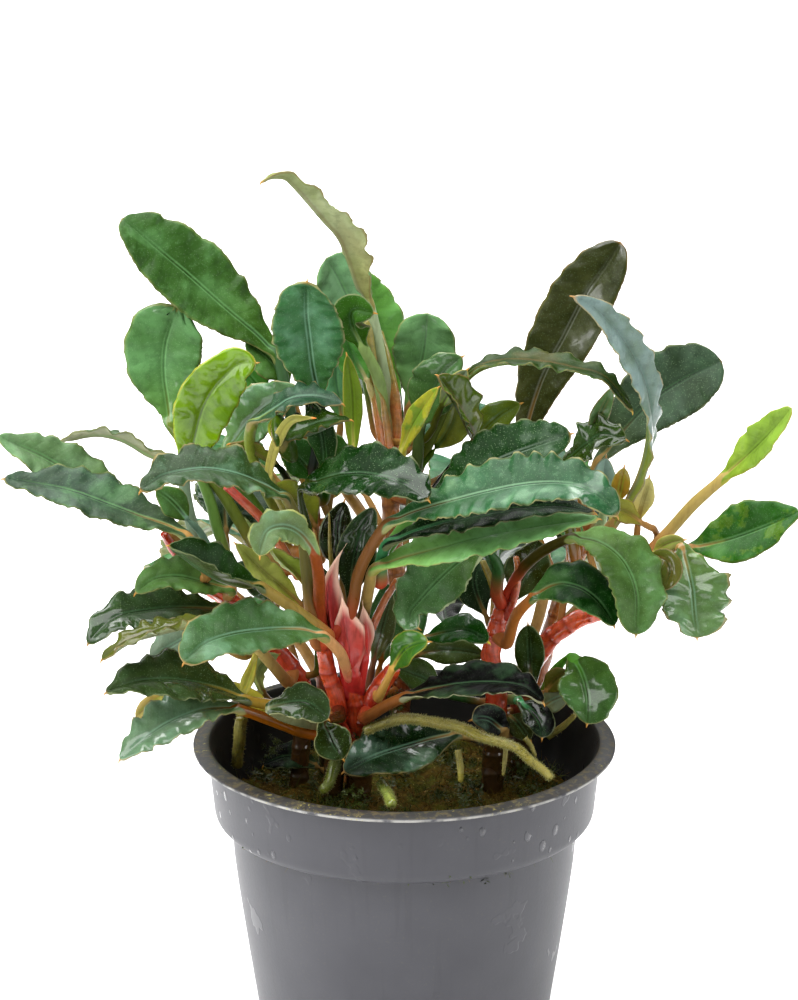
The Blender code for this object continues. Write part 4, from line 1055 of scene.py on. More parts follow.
# %% Shoots found on the stems
SHOOTS = {
    "blade_19_round_front": leaf(
        DARK, 0.3, node="stem_front", at=(328, 719), ripple=2, Upper=(40, 56, 28), Margin=(160, 160, 112),
        Stalk=(112, 116, 80), Wet=0.6),
    "blade_20_heart_front": leaf(
        DARK, 0.15, node="stem_front", at=(343, 759), Upper=(28, 40, 4), Margin=(152, 152, 100),
        Stalk=(56, 40, 12), Foot=(112, 36, 24)),
    "blade_23_small_cupped": leaf(
        YOUNG, 0.1, node="stem_front", at=(428, 642), Upper=(44, 88, 24), Stalk=(176, 136, 64), Wet=0.5),
    "blade_25_upright_centre": leaf(
        DARK, 0.2, node="stem_front", at=(374, 508), Upper=(24, 40, 8), Wet=0.6),
    "blade_09_small_left": leaf(
        MID, 0.35, node="stem_left", at=(136, 593), ripple=2.6, Upper=(68, 100, 48)),
    # Partly this leaf's own bluish colour, partly painted reflection: its upper face is greyed.
    "blade_13_light_round_left": leaf(BLUE, 0.3, node="stem_left", at=(150, 658), Upper=(88, 104, 84)),
    "blade_24_small_dark": leaf(
        DARK, 0.25, node="stem_back", at=(488, 642), Upper=(16, 64, 4), Tip=(220, 192, 60)),
    "blade_48_narrow_yellow": leaf(
        YOUNG, 0.15, node="stem_back", at=(438, 388), Upper=(144, 144, 40), Mottle=(84, 116, 32),
        Mottled=0.8),
    "blade_54_small_top_cup": leaf(
        DARK, 0.25, node="stem_back", at=(374, 313), Upper=(48, 88, 24), Stalk=(128, 152, 88), Wet=0.5),
    # Painted shade: the underside of this leaf, behind the others, is coloured black.
    "blade_76_behind": leaf(MID, 0.4, node="stem_back", at=(446, 622), Under=(4, 4, 4), Stalk=(28, 72, 16)),
    # Partly this leaf's own bluish colour, partly painted reflection: its upper face is pale grey-blue.
    "blade_44_blue_small": leaf(
        BLUE, 0.2, node="stem_back_right", at=(606, 458), Upper=(156, 188, 184), Stalk=(136, 164, 116)),
    "blade_34_olive_right": leaf(OLIVE, 0.2, node="stem_right", at=(664, 590), Upper=(68, 76, 24)),
    "blade_67_upright_low": leaf(DARK, 0.15, node="stem_right", at=(528, 625), Upper=(40, 56, 12)),
    # Painted shade: this low leaf's upper face is coloured black.
    "blade_69_round_low": leaf(
        DARK, 0.15, node="stem_right", at=(542, 738), Upper=(4, 4, 4), Stalk=(80, 160, 104), Wet=0.6),
    # Painted shade: this low bluish leaf's upper face is coloured black.
    "blade_70_bluish_low": leaf(BLUE, 0.15, node="stem_right", at=(472, 720), Upper=(4, 4, 4)),
    "blade_61_ruffled_centre": leaf(
        DARK, 0.5, node="stem_upper_left", at=(350, 420), ripple=2.2, Upper=(28, 48, 4), Under=(40, 64, 20),
        Margin=(112, 96, 56), Stalk=(44, 64, 4)),
    "blade_53_glossy_below": leaf(
        DARK, 0.2, node="stem_upper_left", at=(308, 400), Upper=(16, 48, 4), Stalk=(24, 72, 4), Wet=0.8),
    "blade_55_narrow_upright": leaf(YOUNG, 0.1, node="stem_upper_left", at=(347, 356), Upper=(96, 120, 28)),
}


def near_tip(found, at):
    """The leaf whose tip shows nearest to a place in the picture."""
    def miss(leaf):
        x, y = shown_at(leaf[1])
        return math.hypot(x - at[0], y - at[1])
    return min(found, key=miss)


on_stems = {node: leaves_in(node) for node in sorted({look["node"] for look in SHOOTS.values()})}
for number, (name, look) in enumerate(SHOOTS.items()):
    look = dict(look)
    rings, tip = near_tip(on_stems[look.pop("node")], look.pop("at"))
    grow(name, spine_from_rings(rings, tip), look, 60 + number)
print("leaves found on the stems:", len(SHOOTS))

# %% [markdown]
# ## Small growth
# The rest of the leaves are too small or too tangled for the model's solids. Each one is drawn by where
# its stalk and its blade show, with depths behind the pot's axis at its foot, its base and its tip.

# %% Small leaves and sheaths, one by one
SHEATH = dict(kind="sheath", fold=50, join=False, pillow=0.05, sheath=1.2, horn=False, thick=0.2)
SPRIGS = {
    "sheath_front": dict(
        SHEATH, at=[(354, 686), (353, 679), (353, 674), (350, 650), (345, 620), (341, 590)],
        back=(-2.4, -5, -7), wide=5, upper=(0.1, 1, 0.25), fullest=0.3, blunt=2.2, stalk_radius=0.8,
        wave=0.06, sink=0.3),
    "sheath_left": dict(
        SHEATH, at=[(349, 690), (345, 668), (338, 645), (331, 615), (329, 588), (336, 562), (347, 543)],
        back=(-2.6, -4.2, -6), wide=3.2, upper=(0.4, 1, 0.2), fullest=0.35, blunt=2, stalk_radius=0.6,
        wave=0.1),
    "sheath_right": dict(
        SHEATH, at=[(357, 690), (362, 672), (366, 655), (367, 636), (365, 618), (362, 600)],
        back=(-2.8, -4.4, -5), wide=2.6, upper=(-0.3, 1, 0.2), fullest=0.35, blunt=2, stalk_radius=0.5,
        wave=0.06),
    "blade_17_yellow_sheath": leaf(
        YOUNG, 0.05, at=[(290, 700), (278, 706), (268, 712), (252, 702), (240, 692), (231, 682)],
        back=(2, -2, -3), wide=2.6, upper=(0.2, -0.8, 0.6), fold=50, Upper=(200, 188, 68)),
    # Painted highlight: this dark leaf's upper face is coloured a pale, near-white green.
    "blade_18_twisted": leaf(
        DARK, 0.3, at=[(300, 690), (274, 702), (262, 690), (256, 676), (262, 662), (278, 655)],
        back=(6, 0, 2), wide=3, upper=(1, -0.6, 0.2), ripple=2, Upper=(196, 224, 160)),
    "blade_62_pale_horn": leaf(
        YOUNG, 0, at=[(314, 562), (285, 510), (270, 480), (272, 458), (280, 436), (292, 420), (312, 418)],
        back=(9, -5, -8), wide=1.8, upper=(-0.6, -0.8, 0.3), fold=5, stalk_radius=0.7, pillow=0.05,
        Upper=(128, 124, 56), Under=(120, 112, 52), Rib=(120, 116, 52), Margin=(144, 136, 80),
        Stalk=(124, 120, 56), Tip=(216, 128, 60), Mottle=(176, 160, 84), Mottled=0.3),
    "blade_45_yellow_stub": leaf(
        YOUNG, 0.1, at=[(612, 520), (616, 505), (619, 496), (620, 488), (622, 478), (624, 468)],
        back=(8, 7, 6), wide=2.6, upper=(0, -1, 0.2), Upper=(144, 112, 24)),
    "blade_46_tan_fold": leaf(
        OLIVE, 0.3, at=[(655, 530), (648, 526), (640, 522), (628, 514), (614, 508), (600, 500)],
        back=(7, 4, 2), wide=3.4, upper=(0.2, -0.8, 0.6), ripple=2, Upper=(112, 112, 40),
        Under=(152, 112, 60)),
    "blade_49_yellow_tip": leaf(
        YOUNG, 0.15, at=[(432, 430), (438, 414), (444, 402), (452, 390), (460, 380), (467, 370)],
        back=(9, 7, 6), wide=3, upper=(-0.2, -1, 0.4), Upper=(96, 108, 88), Stalk=(52, 56, 8)),
    "blade_63_olive_under": leaf(
        OLIVE, 0.35, at=[(300, 500), (288, 480), (278, 466), (262, 456), (246, 448), (230, 444)],
        back=(9, 5, 4), wide=4, upper=(0, 0.6, 0.9), Under=(76, 88, 20), Stalk=(12, 28, 4)),
    "blade_64_dark_tangle": leaf(
        DARK, 0.4, at=[(330, 520), (322, 500), (318, 482), (304, 464), (290, 450), (275, 440)],
        back=(9, 5, 3), wide=5, upper=(-0.2, -0.8, 0.7), Upper=(24, 64, 4)),
    "blade_64_dark_second": leaf(
        DARK, 0.35, at=[(326, 540), (330, 500), (334, 480), (334, 462), (328, 446), (318, 436)],
        back=(9, 7, 5), wide=5, upper=(0.3, -1, 0.4), Upper=(32, 68, 8)),
    "blade_65_olive_curly": leaf(
        OLIVE, 0.6, at=[(322, 560), (318, 545), (314, 525), (302, 508), (288, 494), (273, 486)],
        back=(8, 3, 2), wide=5, upper=(-0.2, -0.7, 0.9), ripple=2.2, Upper=(96, 104, 28)),
    "blade_66_olive_under": leaf(
        OLIVE, 0.3, at=[(322, 620), (314, 600), (306, 584), (294, 570), (282, 560), (272, 548)],
        back=(3, 0, -2), wide=4.2, upper=(0, 0.5, 1), Under=(128, 148, 56)),
    "blade_81_between": leaf(
        MID, 0.3, at=[(316, 470), (300, 420), (286, 382), (276, 366), (262, 352), (246, 340)],
        back=(10, 12, 13), wide=5.4, upper=(0.2, -1, 0.5), Upper=(60, 96, 40)),
    "blade_82_yellow_cup": leaf(
        YOUNG, 0.1, at=[(300, 470), (288, 450), (280, 438), (276, 430), (276, 424), (282, 418)],
        back=(8, 2, 1), wide=2.4, upper=(0.3, -1, 0.6)),
    "blade_35_orange": leaf(
        YOUNG, 0.1, at=[(648, 562), (652, 556), (656, 552), (664, 546), (674, 542), (684, 540)],
        back=(6, 2, 0), wide=2.4, upper=(0, -1, 0.6), Upper=(128, 128, 64), Under=(192, 128, 48)),
    "blade_83_behind_petioles": leaf(
        DARK, 0.2, at=[(368, 692), (370, 678), (373, 664), (379, 640), (385, 616), (391, 592)],
        back=(3, 4, 5), wide=3.4, upper=(0, -1, 0.3), Upper=(72, 80, 48), Stalk=(104, 64, 40)),
    "blade_99_behind_crown": leaf(
        DARK, 0.2, at=[(376, 690), (378, 676), (381, 662), (386, 636), (389, 608), (386, 584)],
        back=(7, 9, 10), wide=6.5, upper=(0, -1, 0.2), Upper=(56, 88, 48), Stalk=(116, 68, 16)),
    "blade_99_left_of_crown": leaf(
        DARK, 0.2, at=[(318, 668), (318, 650), (319, 636), (322, 612), (322, 588), (316, 566)],
        back=(5, 6, 8), wide=5.5, upper=(0, -1, 0.2), Upper=(16, 32, 16), Stalk=(52, 64, 12)),
    "blade_84_centre_dark": leaf(
        DARK, 0.2, at=[(346, 610), (343, 590), (342, 574), (338, 548), (338, 524), (344, 502)],
        back=(2, 2, 3), wide=5, upper=(0.1, -1, 0.2), Upper=(20, 24, 4), Wet=0.6),
    "blade_85_under_folded": leaf(
        OLIVE, 0.3, at=[(322, 636), (314, 622), (304, 608), (284, 590), (260, 570), (236, 544)],
        back=(0, -3, -5), wide=4.2, upper=(0.1, -0.6, 0.8), Upper=(152, 160, 76)),
    "blade_86_crown_right": leaf(
        DARK, 0.3, at=[(507, 630), (510, 612), (514, 600), (522, 580), (532, 560), (538, 540)],
        back=(6, 7, 9), wide=6, upper=(0.1, -1, 0.5), Upper=(36, 40, 4)),
    "blade_87_crown_left": leaf(
        DARK, 0.3, at=[(494, 640), (490, 626), (486, 616), (478, 598), (474, 578), (480, 556)],
        back=(6, 6, 6), wide=5.2, upper=(0.2, -1, 0.3), Upper=(24, 44, 20)),
    "blade_88_low_behind": leaf(
        DARK, 0.2, at=[(402, 662), (408, 658), (416, 655), (438, 651), (462, 651), (484, 656)],
        back=(9, 8, 7), wide=4, upper=(0, -1, 0.6), Upper=(68, 84, 40)),
    "blade_89_triangle": leaf(
        DARK, 0.3, at=[(412, 480), (424, 462), (434, 450), (446, 434), (454, 416), (456, 398)],
        back=(12, 12, 13), wide=5.4, upper=(-0.2, -1, 0.3), Upper=(116, 124, 48), Stalk=(56, 80, 12)),
    "blade_90_above_dotted": leaf(
        DARK, 0.2, at=[(450, 470), (464, 452), (474, 440), (488, 426), (502, 414), (520, 404)],
        back=(12, 11, 11), wide=4.4, upper=(-0.1, -1, 0.6), Upper=(84, 100, 24)),
    "blade_91_right_olive": leaf(
        OLIVE, 0.2, at=[(580, 460), (584, 446), (588, 436), (596, 420), (604, 404), (612, 388)],
        back=(13, 12, 11), wide=2.6, upper=(0.3, -1, 0.2), Upper=(88, 120, 76)),
    "blade_92_tan_stub": leaf(
        OLIVE, 0.1, at=[(634, 560), (637, 535), (638, 520), (641, 505), (645, 492), (649, 478)],
        back=(9, 9, 9), wide=3, upper=(0.2, -1, 0.2), Upper=(208, 200, 128)),
    "blade_93_left_dark": leaf(
        MID, 0.2, at=[(214, 556), (200, 532), (188, 520), (178, 508), (168, 498), (156, 490)],
        back=(4, 2, 1), wide=4, upper=(0, -1, 0.6), Upper=(52, 84, 32), Stalk=(88, 116, 96)),
    "blade_94_yellow_point": leaf(
        YOUNG, 0.1, at=[(200, 694), (184, 694), (168, 696), (156, 702), (146, 709), (136, 718)],
        back=(-5, -8, -9), wide=2.6, upper=(0, -0.8, 0.8), join=False, Upper=(160, 140, 80)),
    "blade_95_yellow_strip": leaf(
        YOUNG, 0.05, at=[(262, 640), (258, 650), (254, 660), (250, 672), (245, 686), (240, 700)],
        back=(0, -2, -3), wide=1.8, upper=(0.3, -1, 0.2), Upper=(208, 200, 96)),
    "blade_96_behind_upright": leaf(
        MID, 0.1, at=[(338, 450), (340, 430), (341, 416), (339, 398), (336, 380), (337, 362)],
        back=(12, 12, 12), wide=4.2, upper=(0.1, -1, 0.3), Upper=(92, 148, 108)),
    "blade_97_behind_yellow": leaf(
        MID, 0.1, at=[(290, 440), (276, 410), (266, 396), (258, 386), (250, 376), (244, 366)],
        back=(13, 13, 13), wide=4.4, upper=(0.1, -1, 0.3), Upper=(80, 144, 64)),
    "blade_54_second": leaf(
        DARK, 0.3, at=[(384, 440), (374, 400), (366, 378), (356, 360), (348, 342), (342, 328)],
        back=(13, 11, 10), wide=5, upper=(-0.2, -1, 0.4), Upper=(88, 152, 72), Stalk=(204, 188, 128),
        Wet=0.6),
    "blade_71_dark_low": leaf(
        DARK, 0.1, at=[(505, 712), (508, 716), (512, 718), (518, 724), (524, 732), (530, 740)],
        back=(8, 3, 1), wide=3.6, upper=(0.1, -1, 0.6), Upper=(48, 52, 16)),
    "blade_72_behind_front": leaf(
        DARK, 0.2, at=[(470, 700), (450, 696), (440, 690), (425, 680), (410, 674), (395, 668)],
        back=(6, 3, 1), wide=5, upper=(0, -0.8, 0.8), Upper=(48, 64, 24), Stalk=(48, 84, 40)),
    "blade_73_brown_low": leaf(
        OLIVE, 0.1, at=[(535, 704), (540, 696), (545, 692), (552, 684), (560, 677), (568, 672)],
        back=(8, 4, 2), wide=3.2, upper=(0, -1, 0.6), Upper=(80, 80, 24)),
    # Painted shade: a leaf in the shade inside the pot, coloured black, dry and without shine.
    "blade_98_in_the_pot": leaf(
        DARK, 0.2, at=[(336, 776), (328, 772), (320, 768), (302, 760), (284, 758), (264, 766)],
        back=(4.5, 5, 5.5), wide=5.4, upper=(0.1, -0.4, 1), join=False, Upper=(4, 4, 4), Wet=0, Shine=0.02),
    "blade_74_grey_low": leaf(
        BLUE, 0.1, at=[(538, 712), (542, 708), (545, 706), (554, 700), (562, 697), (570, 695)],
        back=(8, 4, 2), wide=3.6, upper=(0, -1, 0.6), Upper=(112, 120, 92)),
}
SPINE_WORDS = ("at", "back", "wide", "upper", "fold", "fullest", "blunt", "stalk_radius")
for number, (name, look) in enumerate(SPRIGS.items()):
    look = dict(look)
    form = {key: look.pop(key) for key in SPINE_WORDS if key in look}
    grow(name, spine_from_picks(**form), look, 90 + number)
print("leaves and sheaths by hand:", len(SPRIGS))

# %% [markdown]
# ## Growth on the far side
# The far side carries leaves of the same kinds. Each row names a stem, how far up it the leaf starts,
# the way it points, how steeply it rises, its length and its width.

# %% Leaves that point away
FAR = (
    ("stem_back", 0.42, 80, 30, 27, 8.5, DARK),
    ("stem_back", 0.55, 128, 35, 25, 8.0, MID),
    ("stem_back", 0.70, 45, 40, 23, 7.5, BLUE),
    ("stem_back", 0.86, 100, 45, 20, 7.0, DARK),
    ("stem_back_right", 0.45, 70, 30, 26, 8.5, DARK),
    ("stem_back_right", 0.68, 95, 35, 24, 8.0, MID),
    ("stem_back_right", 0.85, 125, 45, 21, 7.0, BLUE),
    ("stem_left", 0.35, 118, 30, 26, 8.5, DARK),
    ("stem_left", 0.55, 150, 30, 25, 8.0, MID),
    ("stem_left", 0.80, 95, 40, 22, 7.5, DARK),
    ("stem_upper_left", 0.45, 135, 30, 28, 9.0, DARK),
    ("stem_upper_left", 0.62, 88, 35, 25, 8.0, BLUE),
    ("stem_upper_left", 0.80, 155, 35, 23, 7.5, MID),
    ("stem_right", 0.50, 75, 30, 25, 8.0, DARK),
    ("stem_right", 0.78, 105, 25, 22, 7.5, MID),
    ("stem_middle", 0.60, 85, 35, 25, 8.0, DARK),
)
FAR_STEPS = 10
FAR_STALK = 4


def far_spine(line, share, heading, rise, length, wide):
    """A leaf that leaves its stem steeply and then arches over, pointing to heading, in degrees."""
    start = curve(np.array([tuple(p) for p in line]), np.array([share * (len(line) - 1)]))[0]
    level = np.array([math.cos(math.radians(heading)), math.sin(math.radians(heading)), 0.0])
    points = [start]
    for k in range(FAR_STEPS):
        slope = math.radians(rise + 25 - 75 * (k / (FAR_STEPS - 1)) ** 1.3)
        ahead = level * math.cos(slope) + np.array([0, 0, math.sin(slope)])
        points.append(points[-1] + ahead * length / FAR_STEPS)
    upper = (-level[0] * 0.3, -level[1] * 0.3, 1.0)
    return spine_from_points(points[:FAR_STALK], points[FAR_STALK:], wide, upper)


for number, (stem, share, heading, rise, length, wide, kind) in enumerate(FAR):
    spine = far_spine(STEM_LINES[stem], share, heading, rise, length, wide)
    look = leaf(kind, 0.45, join=False, sink=0.05)
    grow(f"blade_far_{number + 1:02d}", spine, look, 150 + number)
print("leaves on the far side:", len(FAR))

# %% [markdown]
# ## Stems and roots
# A stem is a tube with a ring wherever an old leaf fell off. It is crimson where it is young and turns
# orange and tan with age, in streaks that run along it. Roots use the same tube, thinner, without rings.

# %% Tubes
TUBE_SPACING = 0.22
SCAR_WIDTH = 0.28
SCAR_PLACE = 0.6


def tube_skin(name, line, radii, finish, ring_gap=0.0, swell=0.0, around=18, seed=1, rough=0.04):
    """A tube along points in millimetres; ring_gap is the distance between old leaf scars, swell how much
    thicker the tube is there, and rough how lumpy it is."""
    random = np.random.default_rng(seed)
    line = np.array([tuple(p) for p in line])
    steps, run = even_steps(line, TUBE_SPACING)
    centre = curve(line, steps)
    along = unit(np.gradient(centre, axis=0))
    side = unit(np.cross(along, (0.2, -0.3, 1.0)) + 1e-6)
    other = np.cross(along, side)
    radius = np.interp(run / run[-1], np.linspace(0, 1, len(radii)), radii)
    ring = np.zeros_like(run)
    if ring_gap:
        places = np.arange(ring_gap * SCAR_PLACE, run[-1], ring_gap)
        places = places + random.uniform(-0.25, 0.25, len(places)) * ring_gap
        beyond = run - places[:, None]
        ring = np.exp(-(beyond / SCAR_WIDTH) ** 2).max(axis=0)
        waist = np.exp(-((beyond - 0.55) / 0.3) ** 2).max(axis=0)
        radius = radius * (1 + swell * ring - swell * 0.5 * waist)
    end = np.clip((run[-1] - run) / radius[-1], 0, 1)
    radius = radius * np.sqrt(np.clip(1 - (1 - end) ** 2, 0.01, 1))
    turn = np.linspace(0, 2 * np.pi, around, endpoint=False)[None, :]
    lumps = np.sin(3 * turn + 1.3 * run[:, None]) + 0.6 * np.sin(5 * turn - 2.1 * run[:, None] + 1)
    size = radius[:, None] * (1 + rough * lumps)
    rings = (centre[:, None, :] + side[:, None, :] * (size * np.cos(turn))[..., None]
             + other[:, None, :] * (size * np.sin(turn))[..., None])
    measures = {"tube_along": (run / run[-1])[:, None], "tube_ring": ring[:, None],
                "tube_turn": np.abs(turn / np.pi - 1)}
    return closed_skin(name, rings, finish, measures)


# %% [markdown]
# ## What a stem or a root is coloured with
# One finish serves them all. Age runs from the foot to the tip and wanders a little. Pale and dark
# streaks follow the length; the pale ones are partly the stem's own colour and partly a painted highlight.
# Specks of dirt sit on it, old leaf scars have their own colour, and whatever lies low, at about the height
# of the pot's rim and below, darkens to olive-brown. Light passes a little way in, as in any soft plant.

# %% A finish for tubes
LOW_DARK_TOP = 53.5
LOW_DARK_FULL = 48.5
LIGHT_DEPTH = (0.0009, 0.0003, 0.0002)


def tube_finish(name, young, old, scar, pale=(214, 140, 84), dirt=0.0, rough=0.32, low_darkening=0.92):
    """young and old are its colours at the tip and at the foot, scar the colour of its rings and pale
    the colour of its light streaks, which are partly a painted highlight; dirt says how many specks it
    carries, and mud how far its low part darkens to olive-brown."""
    made, net, shader = new_material(name)
    along = net.attribute("tube_along")
    ring = net.attribute("tube_ring")
    wander = net.noise(260.0, 3.0)
    age = net.plus(along, net.spread(wander, -0.7, 0.7))
    body = net.mix(net.step(age, 0.05, 0.85), colour(*old), colour(*young))
    fine = net.noise(1700.0, 3.0)
    turned = net.times(net.attribute("tube_turn"), 9.0)
    lengthways = net.node("ShaderNodeCombineXYZ", {0: turned, 1: net.times(along, 1.4), 2: 0.0})
    streak = net.noise(1.6, 3.0, where=lengthways, rough=0.6)
    body = net.shade(net.times(net.step(streak, 0.52, 0.36), 0.4), body, 0.5)
    # Pale streaks along the tube: partly its own colour, partly a painted highlight.
    body = net.mix(net.times(net.step(streak, 0.52, 0.68), 0.25), body, colour(*pale))
    body = net.shade(net.times(net.step(fine, 0.55, 0.35), 0.5), body, 0.5)
    speck = net.times(net.step(net.noise(900.0, 4.0, rough=0.7), 0.56, 0.64), dirt)
    body = net.mix(speck, body, colour(60, 48, 22))
    body = net.mix(net.times(ring, 0.55), body, colour(*scar))
    height = net.plus(net.parts(net.place())[2], net.spread(wander, -0.003, 0.003))
    low = net.step(height, LOW_DARK_TOP * MM, LOW_DARK_FULL * MM)
    # Whatever lies low, at about the height of the pot's rim and below, darkens to olive-brown.
    body = net.mix(net.times(low, low_darkening), body, net.mix(fine, colour(30, 26, 12), colour(58, 56, 24)))
    film = net.step(net.noise(300.0), 0.50, 0.56)
    net.fill(shader, {
        "Base Color": body, "Roughness": net.blend(film, rough, 0.12), "Coat Weight": net.times(film, 0.4),
        "Coat Roughness": 0.05, "Subsurface Weight": 0.12, "Subsurface Radius": LIGHT_DEPTH,
        "Normal": net.bump(net.plus(fine, ring), 0.00008, 0.7)})
    return made


crimson = tube_finish("stem_crimson", (196, 70, 34), (166, 42, 24), (124, 24, 24), (212, 118, 66), dirt=0.2)
tan = tube_finish("stem_tan", (152, 98, 46), (126, 54, 28), (88, 46, 24), (176, 118, 68), dirt=0.4)
for number, (node, form) in enumerate(STEMS.items()):
    finish = tan if form.get("finish") == "tan" else crimson
    made = tube_skin(node + "_skin", STEM_LINES[node], form["radii"], finish, ring_gap=3.2, swell=0.05,
                     seed=number)
    ready(made, "stem_red", *([node] if form.get("node", True) else []))
print("stems:", len(STEMS))

# %% [markdown]
# ## Bare stalks
# Between the leaves stand stalks whose blades are hidden or gone. They are tubes about a millimetre
# thick, without rings: pink, orange and olive ones in the crowns, and a red one at the far left.

# %% Bare stalks in the crowns
pink = tube_finish("stalk_pink", (176, 104, 60), (166, 56, 42), (150, 70, 44), dirt=0.15, low_darkening=0.0)
orange = tube_finish(
    "stalk_orange", (138, 132, 62), (186, 110, 60), (150, 90, 52), (204, 158, 100), dirt=0.1, low_darkening=0.0)
olive = tube_finish(
    "stalk_olive", (130, 118, 50), (150, 74, 44), (140, 110, 50), (170, 160, 90), dirt=0.15, low_darkening=0.0)
STALKS = {
    "stalk_crown_1": dict(
        at=[(349, 655), (341, 620), (333, 580), (330, 545), (329, 512)], back=(-2.5, 0),
        radii=(0.55, 0.42, 0.12), finish=olive),
    "stalk_crown_2": dict(
        at=[(345, 650), (333, 610), (320, 575), (307, 543)], back=(-2, 1), radii=(0.6, 0.52, 0.42),
        finish=pink),
    "stalk_crown_3": dict(
        at=[(362, 655), (372, 628), (384, 602), (398, 578)], back=(-3, -2), radii=(0.6, 0.52, 0.42),
        finish=pink),
    "stalk_crown_4": dict(
        at=[(358, 650), (365, 615), (372, 585), (384, 556)], back=(-2.5, 0), radii=(0.55, 0.46, 0.4),
        finish=olive),
    "stalk_crown_5": dict(
        at=[(355, 650), (352, 610), (355, 575), (364, 545)], back=(-3.2, -1), radii=(0.55, 0.46, 0.4),
        finish=olive),
    "stalk_back_1": dict(
        at=[(386, 455), (380, 420), (374, 385), (370, 345), (368, 318)], back=(12, 12.5),
        radii=(0.85, 0.8, 0.6), finish=orange),
    "stalk_back_2": dict(
        at=[(395, 455), (397, 425), (394, 395), (387, 360), (379, 330)], back=(13, 15),
        radii=(0.8, 0.75, 0.5), finish=orange),
    "stalk_back_3": dict(
        at=[(390, 450), (386, 420), (382, 398), (374, 384)], back=(11, 10.5), radii=(0.6, 0.5, 0.1),
        finish=orange),
    "stalk_far_left": dict(
        at=[(164, 534), (174, 549), (186, 564), (199, 580), (234, 604)], back=(4, 12), radii=(0.5, 1, 1.1),
        finish=crimson),
    "stalk_left_red": dict(
        at=[(226, 486), (244, 502), (262, 520), (280, 545), (300, 580)], back=(4, 6),
        radii=(0.55, 0.65, 0.7), finish=pink),
    "stalk_right_1": dict(
        at=[(505, 618), (514, 598), (518, 575), (516, 556)], back=(4.6, 2), radii=(0.6, 0.5, 0.4),
        finish=pink),
    "stalk_right_2": dict(
        at=[(503, 618), (497, 598), (490, 578), (482, 560)], back=(4.8, 4), radii=(0.6, 0.5, 0.4),
        finish=olive),
}
for number, (name, form) in enumerate(STALKS.items()):
    made = tube_skin(name, seen_line(form["at"], form["back"]), form["radii"], form["finish"], around=12,
                     seed=40 + number, rough=0.05)
    ready(made, "stem_red")
print("bare stalks:", len(STALKS))

# %% [markdown]
# ## Roots
# Bucephalandra clings to stones with green and pale roots that are covered in short hairs. The long one
# crosses the front of the plant toward the rim. A root is a lumpy tube; hairs says how many
# hairs grow on a square millimetre of it.

# %% Roots
old_root = tube_finish("root_olive", (150, 140, 62), (128, 120, 50), (110, 100, 40), (176, 172, 104),
                       dirt=0.5, rough=0.6, low_darkening=0.0)
green_root = tube_finish("root_green", (136, 150, 58), (94, 112, 44), (90, 96, 40), (160, 166, 92),
                         dirt=0.4, rough=0.6, low_darkening=0.0)
ROOTS = {
    "root_long_hairy": dict(
        node=True, back=(-7, -14),
        at=[(366, 731), (385, 723), (402, 719), (422, 720), (442, 724), (462, 728), (482, 737), (500, 742),
            (516, 748), (530, 760), (545, 772), (552, 780)],
        radii=(0.60, 0.68, 0.48), hairs=30),
    "root_green_left": dict(
        at=[(352, 746), (338, 757), (333, 770), (329, 783), (321, 793)], back=(-1.5, -5),
        radii=(0.72, 0.78, 0.6), green=True, hairs=16),
    "root_green_front": dict(
        node=True, at=[(381, 783), (388, 795), (393, 806)], back=(-8, -13), radii=(0.62, 0.72, 0.66),
        green=True, hairs=16),
    "root_pale_left": dict(
        node=True, at=[(246, 702), (242, 716), (239, 742), (237, 768)], back=(1.6, 4),
        radii=(0.82, 0.8, 0.7), hairs=4),
    "root_thin_middle": dict(
        at=[(458, 750), (460, 765), (461, 783)], back=(-9, -10), radii=(0.4, 0.45, 0.35), hairs=4),
    "root_thin_right": dict(
        at=[(506, 743), (505, 758), (503, 776)], back=(-6, -8), radii=(0.35, 0.3, 0.2), hairs=4),
    "root_thin_far": dict(
        at=[(525, 738), (531, 746), (536, 757)], back=(-4, -5), radii=(0.35, 0.3, 0.2), hairs=4),
    "root_side": dict(
        at=[(548, 737), (562, 727), (576, 714)], back=(6, 5), radii=(0.5, 0.45, 0.3), hairs=3),
}
root_tubes = {}
for number, (name, form) in enumerate(ROOTS.items()):
    finish = green_root if form.get("green") else old_root
    root_tubes[name] = tube_skin(name + "_skin", seen_line(form["at"], form["back"]), form["radii"], finish,
                                 around=14, seed=20 + number, rough=0.07)
    ready(root_tubes[name], "root_olive", *([name] if form.get("node") else []))
print("roots:", len(ROOTS))

# %% [markdown]
# ## Scattering
# Root hairs, moss and fibres all repeat, so a Geometry Nodes tree scatters one small copy over a
# carrier mesh. A point measure named cover says where copies may grow. The result is read back as a
# plain mesh.

